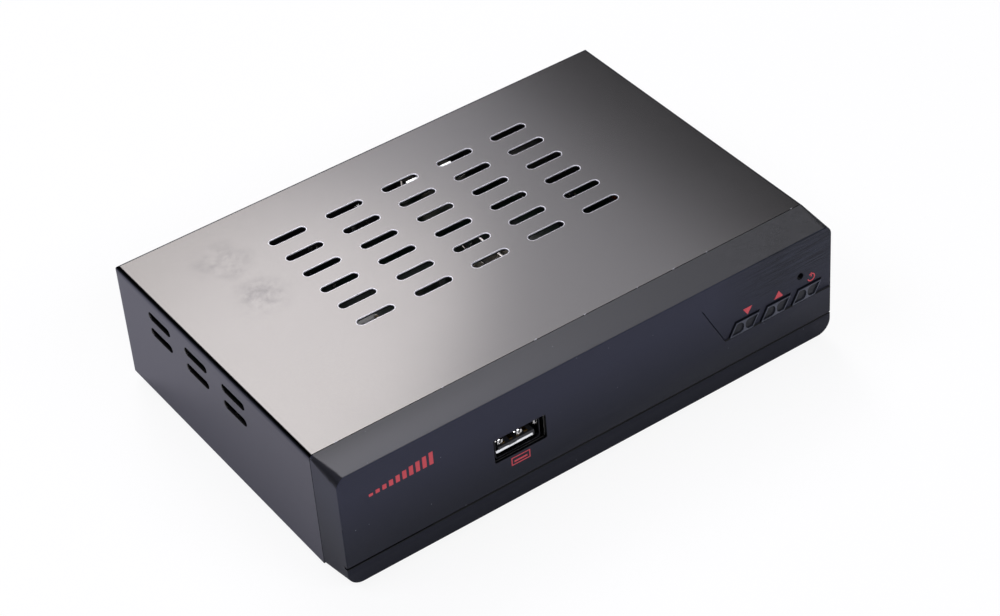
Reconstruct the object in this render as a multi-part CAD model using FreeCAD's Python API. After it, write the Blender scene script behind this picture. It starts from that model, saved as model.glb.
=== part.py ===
"""A small satellite television receiver, built as an assembly of separate pieces, in millimetres.

+Z is up and the front faces -Y. The origin is the centre of the footprint, on the plane that the feet stand on.
The case is a folded steel cover over a folded steel chassis, closed at the front by a moulded bezel.
A vertical front board behind the bezel carries the data socket, three key switches, the infrared receiver
and the standby light. The main board on four standoffs carries the tuner, the rear sockets and the processor.
"""

import FreeCAD
import Part

import os

V = FreeCAD.Vector
RIGHT, BACK, UP = V(1, 0, 0), V(0, 1, 0), V(0, 0, 1)

# --- Case -----------------------------------------------------------------------------------------
case_width = 155.0
case_height = 36.4  # underside of the chassis to the top of the cover
cover_depth = 95.7  # seam with the bezel to the back of the cover
bezel_depth = 11.8  # flat front face to the seam
rear_reach = 10.0  # how far the longest rear connector stands out of the cover's back
sheet = 0.6
bend_radius = 1.0  # outer radius of every fold
slide_gap = 0.2  # between the cover and what it slides over
seam_gap = 0.15  # between the cover's front edge and the bezel
cover_lip = 7.0  # height of the fold that closes the cover at the back
chassis_side = 10.0  # height of the chassis's side folds
chassis_shelf = 6.0  # depth of the fold at the top of the rear wall

# --- Feet and screws ------------------------------------------------------------------------------
foot_radius = 5.0
foot_height = 2.0
foot_inset_x = 16.0  # case side to foot centre
foot_inset_y = 14.0  # chassis end to foot centre
screw_radius = 1.4
screw_head_radius = 2.7
screw_head_height = 1.5
screw_clearance = 0.2  # radial, in the piece that a screw passes through
thread_clearance = 0.05  # radial, in the piece that a screw holds
cover_screw_inset = 17.5  # case side to the outer cover screws; a third is in the middle
cover_screw_length = 5.0
bezel_screw_inset = 25.5  # case side to the bezel's screws
board_screw_reach = 5.0  # how far a board's screw goes past the board

# --- Vents ----------------------------------------------------------------------------------------
vent_length = 11.0
vent_width = 2.4
top_vent_columns = 5
top_vent_rows = 6
top_vent_pitch_x = 18.0
top_vent_pitch_y = 8.5
top_vent_start = 34.4  # seam to the centre line of the first row
top_vent_shift = 0.6  # how far right of the middle the top's vents are
side_vent_columns = 3
side_vent_rows = 2
side_vent_pitch_y = 18.5
side_vent_pitch_z = 5.4
side_vent_start = 37.2  # seam to the centre of the first column
side_vent_drop = 6.4  # cover top to the centre line of the upper row
vent_rim = 0.2  # rounding that the punch leaves round each of the cover's vents
floor_vent_columns = 4
floor_vent_rows = 2
floor_vent_pitch_x = 18.0
floor_vent_pitch_y = 24.0
floor_vent_start = 46.0  # seam to the centre line of the first row

# --- Bezel ----------------------------------------------------------------------------------------
bezel_height = 36.0
bezel_wall = 2.0
bezel_face = 2.2
bezel_edge = 0.35  # rounding all round the front face
front_top_radius = 3.0
front_bottom_radius = 4.4
back_bottom_radius = 0.6
rim_length = 3.0  # how far the bezel's rim reaches under the cover
groove_drop = 29.6  # bezel top to the centre line of the groove
groove_height = 0.7
groove_depth = 1.3
swell_depth = 0.5  # how far the lower face stands out under the ledge
swell_foot = 0.1  # the same just above the groove
swell_drop = 6.7  # bezel top to the line where the lower face starts to stand out
swell_start = 32.5  # left side of the case to where the lower face starts to stand out
swell_full = 47.5  # right side of the case to where it stands out fully
swell_end_gap = 0.6
notch_top = 43.6  # right side of the case to the slanted edge of the flat area round the keys, at its top
notch_bottom = 36.4  # and at the ledge
ledge_drop = 20.25  # bezel top to the ledge under the keys
notch_line = 0.35  # width and depth of the line moulded along the slanted edge
lug_width = 9.0
lug_length = 9.0
lug_height = 5.0

# --- Keys -----------------------------------------------------------------------------------------
key_names = ("channel_down", "channel_up", "power")
key_pitch = 10.55
key_start = 35.25  # right side of the case to the lower left corner of the first key's opening
key_opening_width = 8.3
key_opening_height = 4.5
key_slant = 2.6  # how far the opening leans to the right over its height
key_clearance = 0.3
key_stand_out = 0.5
key_sink = 0.15  # how far a cap sits below the middle of its opening
key_flange = 0.8  # how far the flange reaches past the opening's height, and its thickness
key_flange_gap = 0.3
key_stem_radius = 1.6
key_pocket_depth = 0.4
key_frame = 0.3  # width of the raised frame round the pockets
key_rib = 0.5  # width of the rib where it is narrowest
key_pocket_round = 1.4  # radius of the pockets' corners beside the rib

# --- Key switches ---------------------------------------------------------------------------------
switch_body = 6.0
switch_body_height = 3.2
switch_plate = 0.3
switch_height = 7.0  # front board to the plunger's tip
switch_plunger_radius = 1.75
switch_hole_clearance = 0.08

# --- Front board and what stands on it --------------------------------------------------------------
board = 1.6  # thickness of both circuit boards
front_board_inset = 4.5  # case side to the end of the front board
front_board_drop = 6.0  # cover top to the top of the front board
front_board_height = 18.5
post_radius = 3.0
post_inset = 15.5  # left side of the case to the first post
post_past_socket = 20.7  # front data socket's middle to the second post
post_before_keys = 9.25  # third post to the first key's opening
post_drop = 15.0
lamp_hole_inset = 10.6  # right side of the case to the lamp's hole
lamp_hole_drop = 12.0
lamp_hole_radius = 1.05
lamp_radius = 1.5
lamp_length = 5.0
receiver_offset = 10.0  # lamp's centre to the infrared receiver's centre
receiver_width = 5.6
receiver_height = 6.6
receiver_depth = 3.0
receiver_dome = 2.2
leg = 0.5  # width of the lamp's and the receiver's legs
lamp_collar = 0.8  # height of the lamp's collar
lamp_rim = 0.3  # how far the collar reaches past the lamp
header_pins = 10
header_pitch = 2.54
header_pin = 0.64
header_inset = 33.0  # left side of the case to the middle of the header
header_tail = 1.0  # how far the pins stand out of the boards

# --- Front data socket (type A) ----------------------------------------------------------------------
data_inset = 52.8  # left side of the case to the socket's middle
data_drop = 16.9
data_opening_width = 16.0
data_opening_height = 7.6
data_opening_shift = 0.4  # how far right of the socket's middle the opening is
data_opening_radius = 0.7
data_inside_width = 12.5
data_inside_height = 5.12
data_shell = 0.3
data_flare = 0.4  # how far the shell's mouth opens out, on each side
data_flare_length = 1.2
data_length = 14.0
data_mouth = 0.7  # bezel face to the socket's mouth
data_tongue_width = 11.1
data_tongue = 1.84
data_tongue_recess = 0.5  # mouth to the end of the tongue
data_tongue_seat = 0.38  # gap under the tongue
data_base = 4.0
data_contact_places = (-3.5, -1.0, 1.0, 3.5)
data_contact_width = 1.0
data_contact = 0.2
data_contact_length = 6.5
data_spring_places = (-3.3, 3.3)
data_spring_width = 1.9
data_spring_start = 1.6  # mouth to the finger's turned-up end
data_spring_knee = 2.2  # mouth to the finger's lowest point
data_spring_root = 7.0  # mouth to where the finger leaves the shell
data_spring_dip = 0.9

# --- Main board -----------------------------------------------------------------------------------
board_drop = 20.0  # cover top to the main board's upper face
main_board_inset = 7.5  # case side to the side of the main board
main_board_gap = 0.6  # front board to main board
board_hole_inset = 6.0
standoff_radius = 3.0

# --- Tuner and aerial sockets -----------------------------------------------------------------------
tuner_inset = 25.5  # right side of the case to the tuner's middle
tuner_width = 33.0
tuner_depth = 24.0
tuner_height = 13.0
tuner_wall = 0.4
tuner_lid_skirt = 3.0
aerial_margin = 8.0  # tuner side to the nearest aerial socket's axis
aerial_radius = 4.76
aerial_collar_radius = 5.6
aerial_collar = 1.0  # how far the plain collar stands out of the rear wall
aerial_chamfer = 0.5
aerial_bore = 3.6
aerial_root = 3.0  # length of the barrel inside the tuner
aerial_end = 1.0  # wall that closes the barrel inside the tuner
aerial_plug_recess = 1.0
aerial_contact_radius = 0.5
aerial_contact_wall = 0.35
aerial_contact_recess = 0.6
fit_gap = 0.05

# --- Video socket -----------------------------------------------------------------------------------
video_gap = 9.0  # tuner to the socket
video_width = 15.0
video_height = 5.9
video_chamfer = 1.6
video_shell = 0.4
video_depth = 11.0
video_stand_out = 0.6
video_tongue_width = 11.4
video_tongue = 1.0
video_tongue_recess = 1.2
video_base = 4.0
cutout_gap = 0.35  # round every rear socket

# --- Audio and video jacks --------------------------------------------------------------------------
jack_before_video = 29.0  # last jack to the video socket's middle
jack_pitch = 14.0
jack_colours = ("yellow", "white", "red")
jack_radius = 4.15
jack_bore = 3.3
jack_reach = 9.0
jack_collar_radius = 5.2
jack_seat = 1.0  # depth of the collar's seat in the block
jack_collar = 0.5  # how far the collar stands out of the rear wall
jack_height = 7.5  # board to jack axis
jack_block_height = 12.5
jack_block_depth = 10.0
jack_end = 1.0  # wall that closes the barrel inside the block
jack_insert_recess = 0.8
jack_contact_radius = 1.6

# --- Power jack -------------------------------------------------------------------------------------
power_inset = 17.5  # left side of the case to the jack's middle
power_width = 9.0
power_height = 11.0
power_depth = 14.0
power_axis = 6.5  # board to jack axis
power_nose_radius = 3.9
power_bore = 2.9
power_bore_depth = 9.5
power_pin_radius = 1.0
power_pin_recess = 0.8

# --- Parts on the main board --------------------------------------------------------------------------
processor_x, processor_y, processor_size, processor_height = 6.6, 47.7, 14.0, 1.4
sink_size, sink_base, sink_fin_height, sink_fins, sink_fin = 16.9, 2.0, 8.0, 4, 0.8
memory_x, memory_y, memory_length, memory_width, memory_height = 24.0, 26.0, 13.3, 9.0, 1.1
store_x, store_y, store_size, store_height = 23.6, 61.0, 5.3, 1.8
crystal_x, crystal_y, crystal_length, crystal_width, crystal_height = -8.0, 56.0, 10.2, 4.0, 3.6
# Beside the power jack and in front of the tuner: place across from its middle, place back from the seam.
power_capacitors = ((3.0, 58.0, 4.0, 12.0), (14.0, 58.0, 4.0, 12.0), (3.0, 30.0, 3.15, 8.0))  # radius, height
tuner_capacitors = ((-12.0, 55.0, 3.15, 8.0), (0.0, 40.0, 3.15, 8.0))
power_chokes_at = ((16.0, 42.0), (3.0, 42.0))
tuner_chokes_at = ((6.0, 55.0),)
power_regulators_at = ((22.0, 26.0), (14.0, 26.0))
tuner_regulators_at = ((-10.0, 28.0),)
choke_radius, choke_height, choke_waist = 3.6, 4.4, 2.6
choke_end = 0.8
regulator_width, regulator_depth, regulator_height = 6.5, 3.6, 1.7

# --- Planes worked out from the sizes above ------------------------------------------------------------
half_width = case_width / 2
overall_depth = swell_depth + bezel_depth + cover_depth + rear_reach
face_y = swell_depth - overall_depth / 2
seam_y = face_y + bezel_depth
back_y = seam_y + cover_depth
floor_z = foot_height
case_top = foot_height + case_height
cover_inside = half_width - sheet
chassis_half = cover_inside - slide_gap
rear_outside = back_y - sheet  # outer face of the chassis's rear wall
rear_inside = rear_outside - sheet
floor_top = floor_z + sheet
bezel_floor = case_top - bezel_height
front_board_y = face_y + data_mouth + data_length
front_board_back = front_board_y + board
board_top = case_top - board_drop
board_under = board_top - board
main_board_front = front_board_back + main_board_gap
main_board_back = rear_inside - fit_gap
chassis_front = seam_y + seam_gap
main_board_half = half_width - main_board_inset
lamp_hole_x = half_width - lamp_hole_inset
header_x = header_inset - half_width
data_x = data_inset - half_width
tuner_x = half_width - tuner_inset
video_x = tuner_x - tuner_width / 2 - video_gap - video_width / 2
last_jack = len(jack_colours) - 1
jack_places = [video_x - jack_before_video - (last_jack - i) * jack_pitch for i in range(last_jack + 1)]
power_x = power_inset - half_width
screw_hole = screw_radius + screw_clearance
pilot_hole = screw_radius + thread_clearance


# --- Shapes that repeat -------------------------------------------------------------------------------
def block(x, y, z):
    """A box between three pairs of low and high limits."""
    return Part.makeBox(x[1] - x[0], y[1] - y[0], z[1] - z[0], V(x[0], y[0], z[0]))


def centred_block(x, y, z, width, depth, height):
    """A box centred on x and y, standing on z."""
    return block((x - width / 2, x + width / 2), (y - depth / 2, y + depth / 2), (z, z + height))


def rod(radius, start, direction, length):
    return Part.makeCylinder(radius, length, start, direction)


def prism(points, along):
    """A closed outline of corner points, extruded."""
    return Part.Face(Part.makePolygon(points + points[:1])).extrude(along)


def slot(centre, along, across, length, width, through):
    """A round-ended slot's cutter, extruded by the vector through."""
    reach = along * ((length - width) / 2)
    side = across * (width / 2)
    tip = along * (length / 2)
    edges = [
        Part.LineSegment(centre - reach - side, centre + reach - side).toShape(),
        Part.Arc(centre + reach - side, centre + tip, centre + reach + side).toShape(),
        Part.LineSegment(centre + reach + side, centre - reach + side).toShape(),
        Part.Arc(centre - reach + side, centre - tip, centre - reach - side).toShape(),
    ]
    return Part.Face(Part.Wire(edges)).extrude(through)


def rounded_outline(y, half, low, high, low_radius, high_radius):
    """A rectangle across X and Z at y, with one radius at its lower corners and another at its upper ones."""
    diagonal = 1 - 0.5**0.5

    def corner(side_x, side_z, radius):
        x, z = side_x * half, high if side_z > 0 else low
        on_side = V(x, y, z - side_z * radius)
        middle = V(x - side_x * radius * diagonal, y, z - side_z * radius * diagonal)
        on_level = V(x - side_x * radius, y, z)
        return on_side, middle, on_level

    lower_right, upper_right = corner(1, -1, low_radius), corner(1, 1, high_radius)
    upper_left, lower_left = corner(-1, 1, high_radius), corner(-1, -1, low_radius)
    return Part.Wire([
        Part.LineSegment(lower_left[2], lower_right[2]).toShape(),
        Part.Arc(lower_right[2], lower_right[1], lower_right[0]).toShape(),
        Part.LineSegment(lower_right[0], upper_right[0]).toShape(),
        Part.Arc(upper_right[0], upper_right[1], upper_right[2]).toShape(),
        Part.LineSegment(upper_right[2], upper_left[2]).toShape(),
        Part.Arc(upper_left[2], upper_left[1], upper_left[0]).toShape(),
        Part.LineSegment(upper_left[0], lower_left[0]).toShape(),
        Part.Arc(lower_left[0], lower_left[1], lower_left[2]).toShape(),
    ])


def folded_box(x, y, z, radius, keep):
    """A box whose edges that pass the test keep are rounded, as folded sheet is."""
    box = block(x, y, z)
    return box.makeFillet(radius, [edge for edge in box.Edges if keep(edge.CenterOfMass)])


def screw(seat, direction, length):
    """A pan-head screw: the head's underside is at seat and the shank points along direction."""
    shank = rod(screw_radius, seat, direction, length)
    top = seat - direction * screw_head_height
    head = rod(screw_head_radius, top, direction, screw_head_height)
    rim = [e for e in head.Edges if (e.CenterOfMass - top).Length < 0.01]
    return head.makeFillet(screw_head_height * 0.5, rim).fuse(shank)


def spread(count, pitch):
    """Places either side of zero, a pitch apart."""
    return [(i - (count - 1) / 2) * pitch for i in range(count)]


def group(shapes):
    return Part.makeCompound(shapes)


# --- Case -----------------------------------------------------------------------------------------
def cover_screw_seats():
    spread_x = half_width - cover_screw_inset
    return [V(x, back_y, case_top - cover_lip / 2) for x in (-spread_x, 0.0, spread_x)]


def bezel_screw_seats():
    y = seam_y + rim_length + lug_length / 2
    spread_x = half_width - bezel_screw_inset
    return [V(x, y, floor_z) for x in (-spread_x, spread_x)]


def top_cover():
    """Folded steel: the top, both sides and a narrow lip down the back."""
    front = seam_y + seam_gap

    def outer_fold(p):
        return p.z > case_top - 0.01 and p.y > front + 0.01

    def inner_fold(p):
        return p.z > case_top - sheet - 0.01 and p.y > front + 0.01

    shell = folded_box(
        (-half_width, half_width), (front, back_y), (floor_z, case_top), bend_radius, outer_fold)
    inside = folded_box(
        (-cover_inside, cover_inside), (front - sheet, back_y - sheet), (floor_z - sheet, case_top - sheet),
        bend_radius - sheet, inner_fold)
    shell = shell.cut(inside)
    rear_opening = block(
        (-cover_inside, cover_inside), (back_y - 2 * sheet, back_y + sheet),
        (floor_z - sheet, case_top - cover_lip))
    cutters = [rear_opening]
    for x in spread(top_vent_columns, top_vent_pitch_x):
        for row in range(top_vent_rows):
            y = seam_y + top_vent_start + row * top_vent_pitch_y
            centre = V(x + top_vent_shift, y, case_top - 2 * sheet)
            cutters.append(slot(centre, RIGHT, BACK, vent_length, vent_width, UP * 3 * sheet))
    for column in range(side_vent_columns):
        y = seam_y + side_vent_start + column * side_vent_pitch_y
        for row in range(side_vent_rows):
            z = case_top - side_vent_drop - row * side_vent_pitch_z
            for x in (-half_width - sheet, cover_inside - sheet):
                cutters.append(slot(V(x, y, z), BACK, UP, vent_length, vent_width, RIGHT * 3 * sheet))
    vented = shell.cut(cutters)
    inset = bend_radius + vent_rim
    vents_foot = case_top - side_vent_drop - side_vent_rows * side_vent_pitch_z

    def rim(edge):
        p = edge.CenterOfMass
        on_top = p.z > case_top - 0.001 and abs(p.x) < half_width - inset and p.y < back_y - inset
        on_side = abs(p.x) > half_width - 0.001 and vents_foot < p.z < case_top - inset
        return (on_top or on_side) and front + inset < p.y < back_y - inset

    vented = vented.makeFillet(vent_rim, [e for e in vented.Edges if rim(e)])
    start = BACK * 2 * sheet
    return vented.cut([rod(screw_hole, seat - start, BACK, 3 * sheet) for seat in cover_screw_seats()])


def rear_cutouts():
    """The openings in the rear wall: aerial sockets, video socket, jacks and power jack."""
    wall = rear_inside - sheet
    through = 3 * sheet
    radius = aerial_collar_radius + cutout_gap
    tools = [rod(radius, V(x, wall, aerial_z()), BACK, through) for x in aerial_places()]
    tools += [rod(jack_collar_radius + cutout_gap, V(x, wall, jack_z()), BACK, through) for x in jack_places]
    tools.append(rod(power_nose_radius + cutout_gap, V(power_x, wall, board_top + power_axis), BACK, through))
    half = video_width / 2 + cutout_gap
    tools.append(block(
        (video_x - half, video_x + half), (wall, wall + through),
        (board_top - cutout_gap, board_top + video_height + cutout_gap)))
    return tools


def bottom_chassis():
    """Folded steel: the floor, low side folds, the rear wall and a shelf along its top."""
    top = case_top - sheet

    def outer_fold(p):
        low = abs(p.z - floor_z) < 0.01 and p.y > chassis_front + 0.01
        high = abs(p.z - top) < 0.01 and p.y > rear_outside - 0.01
        return low or high

    def inner_fold(p):
        low = abs(p.z - floor_top) < 0.01 and p.y > chassis_front + 0.01
        high = abs(p.z - (top - sheet)) < 0.01 and p.y > rear_inside - 0.01
        return low or high

    shell = folded_box(
        (-chassis_half, chassis_half), (chassis_front, rear_outside), (floor_z, top), bend_radius, outer_fold)
    inside = folded_box(
        (sheet - chassis_half, chassis_half - sheet), (chassis_front - sheet, rear_inside),
        (floor_top, top - sheet), bend_radius - sheet, inner_fold)
    shell = shell.cut(inside)
    wide = half_width + sheet
    above_sides = block(
        (-wide, wide), (chassis_front - sheet, rear_inside), (floor_z + chassis_side, top - 2 * sheet))
    open_top = block(
        (-wide, wide), (chassis_front - sheet, rear_inside - chassis_shelf),
        (floor_z + chassis_side, top + sheet))
    rim_room = [
        block((side - 2 * sheet, side + 2 * sheet), (chassis_front - sheet, chassis_front + rim_length + sheet),
              (floor_top, top))
        for side in (-chassis_half, chassis_half)
    ]
    shelf_y = (rear_inside - 2 * chassis_shelf, back_y)
    shelf_ends = [
        block((side - bend_radius, side + bend_radius), shelf_y, (top - sheet, top + sheet))
        for side in (-chassis_half, chassis_half)
    ]
    cutters = [above_sides, open_top] + rim_room + shelf_ends + rear_cutouts()
    for x in spread(floor_vent_columns, floor_vent_pitch_x):
        for row in range(floor_vent_rows):
            y = seam_y + floor_vent_start + row * floor_vent_pitch_y
            cutters.append(slot(V(x, y, floor_z - sheet), RIGHT, BACK, vent_length, vent_width, UP * 3 * sheet))
    for seat in cover_screw_seats():
        cutters.append(rod(pilot_hole, seat - BACK * 4 * sheet, BACK, 4 * sheet))
    for seat in bezel_screw_seats():
        cutters.append(rod(screw_hole, seat - UP * sheet, UP, 3 * sheet))
    return shell.cut(cutters)


def foot_places():
    ys = (chassis_front + foot_inset_y, rear_outside - foot_inset_y)
    return [(x, y) for x in (foot_inset_x - half_width, half_width - foot_inset_x) for y in ys]


def rubber_feet():
    def foot(x, y):
        disc = rod(foot_radius, V(x, y, 0), UP, foot_height)
        lower = [e for e in disc.Edges if e.CenterOfMass.z < foot_height / 4]
        return disc.makeFillet(foot_height / 4, lower[:1])

    return group([foot(x, y) for x, y in foot_places()])


def cover_screws():
    return group([screw(seat, -BACK, cover_screw_length) for seat in cover_screw_seats()])


def bezel_screws():
    return group([screw(seat, UP, lug_height) for seat in bezel_screw_seats()])


# --- Bezel and keys ------------------------------------------------------------------------------
def leaning_outline(left, low, width, height, lean, y):
    """A parallelogram across X and Z whose top leans to the right."""
    high, right = low + height, left + width
    return [V(left, y, low), V(right, y, low), V(right + lean, y, high), V(left + lean, y, high)]


def key_opening(index):
    """Lower left corner of a key's opening, across and up."""
    return half_width - key_start + index * key_pitch, case_top - ledge_drop


def key_centre(index):
    left, low = key_opening(index)
    return left + (key_opening_width + key_slant) / 2, low + key_opening_height / 2


def post_centres():
    xs = (post_inset - half_width, data_x + post_past_socket, half_width - key_start - post_before_keys)
    return [(x, case_top - post_drop) for x in xs]


def swell():
    """The lower face stands out gently, more to the right, except in the flat area round the keys."""
    top, ledge = case_top - swell_drop, case_top - ledge_drop
    low = case_top - groove_drop + groove_height / 2
    root = face_y + bezel_face / 2

    def section(x, depth):
        foot = face_y - depth * swell_foot / swell_depth
        points = [V(x, root, top), V(x, face_y, top), V(x, face_y - depth, ledge), V(x, foot, low), V(x, root, low)]
        return Part.makePolygon(points + points[:1])

    right = half_width - swell_end_gap
    full = section(half_width - swell_full, swell_depth)
    rising = Part.makeLoft([section(swell_start - half_width, 0.0), full], True, True)
    level = Part.makeLoft([full, section(right, swell_depth)], True, True)
    lean = (notch_top - notch_bottom) / (top - ledge)
    out = face_y - 2 * swell_depth
    flat_area = prism([
        V(half_width - notch_top - lean, out, top + 1), V(half_width - notch_bottom, out, ledge),
        V(half_width + 1, out, ledge), V(half_width + 1, out, top + 1),
    ], BACK * 2 * swell_depth)
    return rising.fuse(level).cut(flat_area)


def front_bezel():
    """Moulded front: its corners grow rounder towards the face. Posts hold the front board."""
    back = seam_y - seam_gap / 2
    body = Part.makeLoft([
        rounded_outline(face_y, half_width, bezel_floor, case_top, front_bottom_radius, front_top_radius),
        rounded_outline(back, half_width, bezel_floor, case_top, back_bottom_radius, bend_radius),
    ], True, True)
    body = body.makeFillet(bezel_edge, [e for e in body.Edges if abs(e.BoundBox.YMax - face_y) < 0.001])
    hollow = Part.Face(rounded_outline(
        face_y + bezel_face, half_width - bezel_wall, bezel_floor + bezel_wall, case_top - bezel_wall,
        front_bottom_radius - bezel_wall, front_top_radius - bezel_wall))
    hollow = hollow.extrude(BACK * (bezel_depth + rim_length))
    inset = sheet + slide_gap
    rim = block(
        (inset - half_width, half_width - inset), (back - bezel_wall, seam_y + rim_length),
        (bezel_floor + inset, case_top - inset))
    lugs = []
    lug_front = seam_y + seam_gap
    for seat in bezel_screw_seats():
        lugs.append(block(
            (seat.x - lug_width / 2, seat.x + lug_width / 2), (lug_front, lug_front + rim_length + lug_length),
            (floor_top, floor_top + lug_height)))
    root = face_y + bezel_face / 2
    posts = [rod(post_radius, V(x, root, z), BACK, front_board_y - root) for x, z in post_centres()]
    body = body.fuse([rim, swell()]).cut(hollow).fuse(posts + lugs)
    cutters = [block(
        (-half_width - 1, half_width + 1), (face_y - 2 * swell_depth, face_y + groove_depth),
        (case_top - groove_drop - groove_height / 2, case_top - groove_drop + groove_height / 2))]
    cutters.append(data_opening())
    cutters.append(notch_groove())
    cutters.append(rod(
        lamp_hole_radius, V(lamp_hole_x, face_y - bezel_face, case_top - lamp_hole_drop), BACK, 3 * bezel_face))
    for index in range(len(key_names)):
        left, low = key_opening(index)
        cutters.append(prism(
            leaning_outline(left, low, key_opening_width, key_opening_height, key_slant, face_y - swell_depth),
            BACK * (bezel_face + 2 * swell_depth)))
    for x, z in post_centres():
        cutters.append(rod(pilot_hole, V(x, face_y + bezel_face, z), BACK, bezel_depth + board))
    for seat in bezel_screw_seats():
        cutters.append(rod(pilot_hole, seat, UP, lug_height))
    return body.cut(cutters)


def notch_groove():
    """The fine line along the slanted edge of the flat area round the keys."""
    top, ledge = case_top - swell_drop, case_top - ledge_drop
    high, foot = half_width - notch_top, half_width - notch_bottom
    out = face_y - 2 * swell_depth
    return prism([
        V(high, out, top), V(foot, out, ledge), V(foot + notch_line, out, ledge), V(high + notch_line, out, top),
    ], BACK * (2 * swell_depth + notch_line))


def data_opening():
    """Cutter for the data socket's opening, with rounded corners."""
    x, z = data_x + data_opening_shift, case_top - data_drop
    cutter = block(
        (x - data_opening_width / 2, x + data_opening_width / 2),
        (face_y - 2 * swell_depth, face_y + 2 * bezel_face),
        (z - data_opening_height / 2, z + data_opening_height / 2))
    along_y = [e for e in cutter.Edges if e.BoundBox.YLength > bezel_face]
    return cutter.makeFillet(data_opening_radius, along_y)


def key(index):
    """A leaning cap with two pockets beside a rib, a flange behind the face and a stem to the switch."""
    left, opening_low = key_opening(index)
    low = opening_low - key_sink
    lean = key_slant / key_opening_height
    c = key_clearance
    front = face_y - key_stand_out
    inner = face_y + bezel_face + key_flange_gap
    cap_left = left + c + lean * c
    cap = prism(
        leaning_outline(cap_left, low + c, key_opening_width - 2 * c, key_opening_height - 2 * c,
                        lean * (key_opening_height - 2 * c), front),
        BACK * (inner - front + key_flange / 2))
    flange_height = key_opening_height + 2 * key_flange
    flange_left = left - key_flange * (0.5 + lean)
    flange = prism(
        leaning_outline(flange_left, opening_low - key_flange, key_opening_width + key_flange, flange_height,
                        lean * flange_height, inner),
        BACK * key_flange)
    x, z = key_centre(index)
    tip = front_board_y - switch_height
    stem = rod(key_stem_radius, V(x, inner + key_flange / 2, z), BACK, tip - inner - key_flange / 2)
    solid = cap.fuse([flange, stem])
    z -= key_sink
    pocket_low = low + c + key_frame
    pocket_height = key_opening_height - 2 * (c + key_frame)
    pocket_left = left + (c + key_frame) * (1 + lean)
    middle = x - key_rib / 2
    for turn in (0, 180):
        pocket = prism([
            V(pocket_left, front, pocket_low), V(middle, front, pocket_low),
            V(middle, front, pocket_low + pocket_height),
            V(pocket_left + lean * pocket_height, front, pocket_low + pocket_height),
        ], BACK * key_pocket_depth)
        across = [e for e in pocket.Edges if e.BoundBox.YLength > key_pocket_depth / 2]
        pocket = pocket.makeFillet(key_pocket_round, [e for e in across if e.BoundBox.XMin > middle - 0.01])
        pocket.rotate(V(x, front, z), BACK, turn)
        solid = solid.cut(pocket)
    return solid


# --- Front board ----------------------------------------------------------------------------------
def front_board_limits():
    x = (front_board_inset - half_width, half_width - front_board_inset)
    top = case_top - front_board_drop
    z = (top - front_board_height, top)
    return x, z


def header_places():
    return [header_x + offset for offset in spread(header_pins, header_pitch)]


def header_z():
    """Height of the link header's horizontal legs, which pass through the front board."""
    return board_top + header_pitch


def front_board():
    x, z = front_board_limits()
    plate = block(x, (front_board_y, front_board_back), z)
    cutters = [
        rod(screw_hole, V(px, front_board_y - board, pz), BACK, 3 * board) for px, pz in post_centres()]
    side = header_pin + 2 * fit_gap
    cutters += [
        centred_block(px, front_board_y, header_z() - side / 2, side, 3 * board, side)
        for px in header_places()]
    return plate.cut(cutters)


def front_board_screws():
    length = board + board_screw_reach
    return group([screw(V(x, front_board_back, z), -BACK, length) for x, z in post_centres()])


def switch_bodies():
    """Three switch housings, each with a round hole for its plunger."""
    def body(index):
        x, z = key_centre(index)
        half = switch_body / 2
        housing = block(
            (x - half, x + half), (front_board_y - switch_body_height, front_board_y), (z - half, z + half))
        upright = [e for e in housing.Edges if e.BoundBox.YLength > switch_body_height / 2]
        housing = housing.makeFillet(switch_body / 12, upright)
        hole = rod(
            switch_plunger_radius + switch_hole_clearance, V(x, front_board_y - switch_body_height, z), BACK,
            switch_body_height - switch_plate)
        return housing.cut(hole)

    return group([body(i) for i in range(len(key_names))])


def switch_plates():
    """Thin steel covers on the switch housings."""
    def plate(index):
        x, z = key_centre(index)
        half = switch_body / 2 - switch_plate
        front = front_board_y - switch_body_height - switch_plate
        sheet_plate = block((x - half, x + half), (front, front + switch_plate), (z - half, z + half))
        return sheet_plate.cut(rod(switch_plunger_radius + switch_hole_clearance, V(x, front - 1, z), BACK, 2))

    return group([plate(i) for i in range(len(key_names))])


def switch_plunger(index):
    """A switch's plunger: it leaves room behind it for the whole travel."""
    x, z = key_centre(index)
    travel_room = switch_body_height / 3
    return rod(
        switch_plunger_radius, V(x, front_board_y - switch_height, z), BACK,
        switch_height - switch_plate - travel_room)


def infrared_receiver():
    """A square body with a dome, behind the dark face, which lets infrared through."""
    x, z = lamp_hole_x - receiver_offset, case_top - lamp_hole_drop
    back = front_board_y
    dome_centre = V(x, face_y + bezel_face + receiver_dome + fit_gap, z)
    body_front = dome_centre.y
    body = block(
        (x - receiver_width / 2, x + receiver_width / 2), (body_front, body_front + receiver_depth),
        (z - receiver_height / 2, z + receiver_height / 2))
    dome = Part.makeSphere(receiver_dome, dome_centre)
    legs = [
        block((x + step - leg / 2, x + step + leg / 2), (body_front + receiver_depth / 2, back),
              (z - receiver_height / 4 - leg / 2, z - receiver_height / 4 + leg / 2))
        for step in spread(3, header_pitch / 2)]
    return body.fuse([dome] + legs)


def standby_lamp():
    """A round lamp behind its hole, on two long legs."""
    x, z = lamp_hole_x, case_top - lamp_hole_drop
    tip = face_y + bezel_face + fit_gap
    barrel = rod(lamp_radius, V(x, tip + lamp_radius, z), BACK, lamp_length - lamp_radius)
    dome = Part.makeSphere(lamp_radius, V(x, tip + lamp_radius, z))
    collar = rod(lamp_radius + lamp_rim, V(x, tip + lamp_length - lamp_collar, z), BACK, lamp_collar)
    root = tip + lamp_length - lamp_collar / 2
    legs = [
        block((x + step - leg / 2, x + step + leg / 2), (root, front_board_y), (z - leg / 2, z + leg / 2))
        for step in spread(2, header_pitch / 2)]
    return barrel.fuse([dome, collar] + legs)


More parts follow.
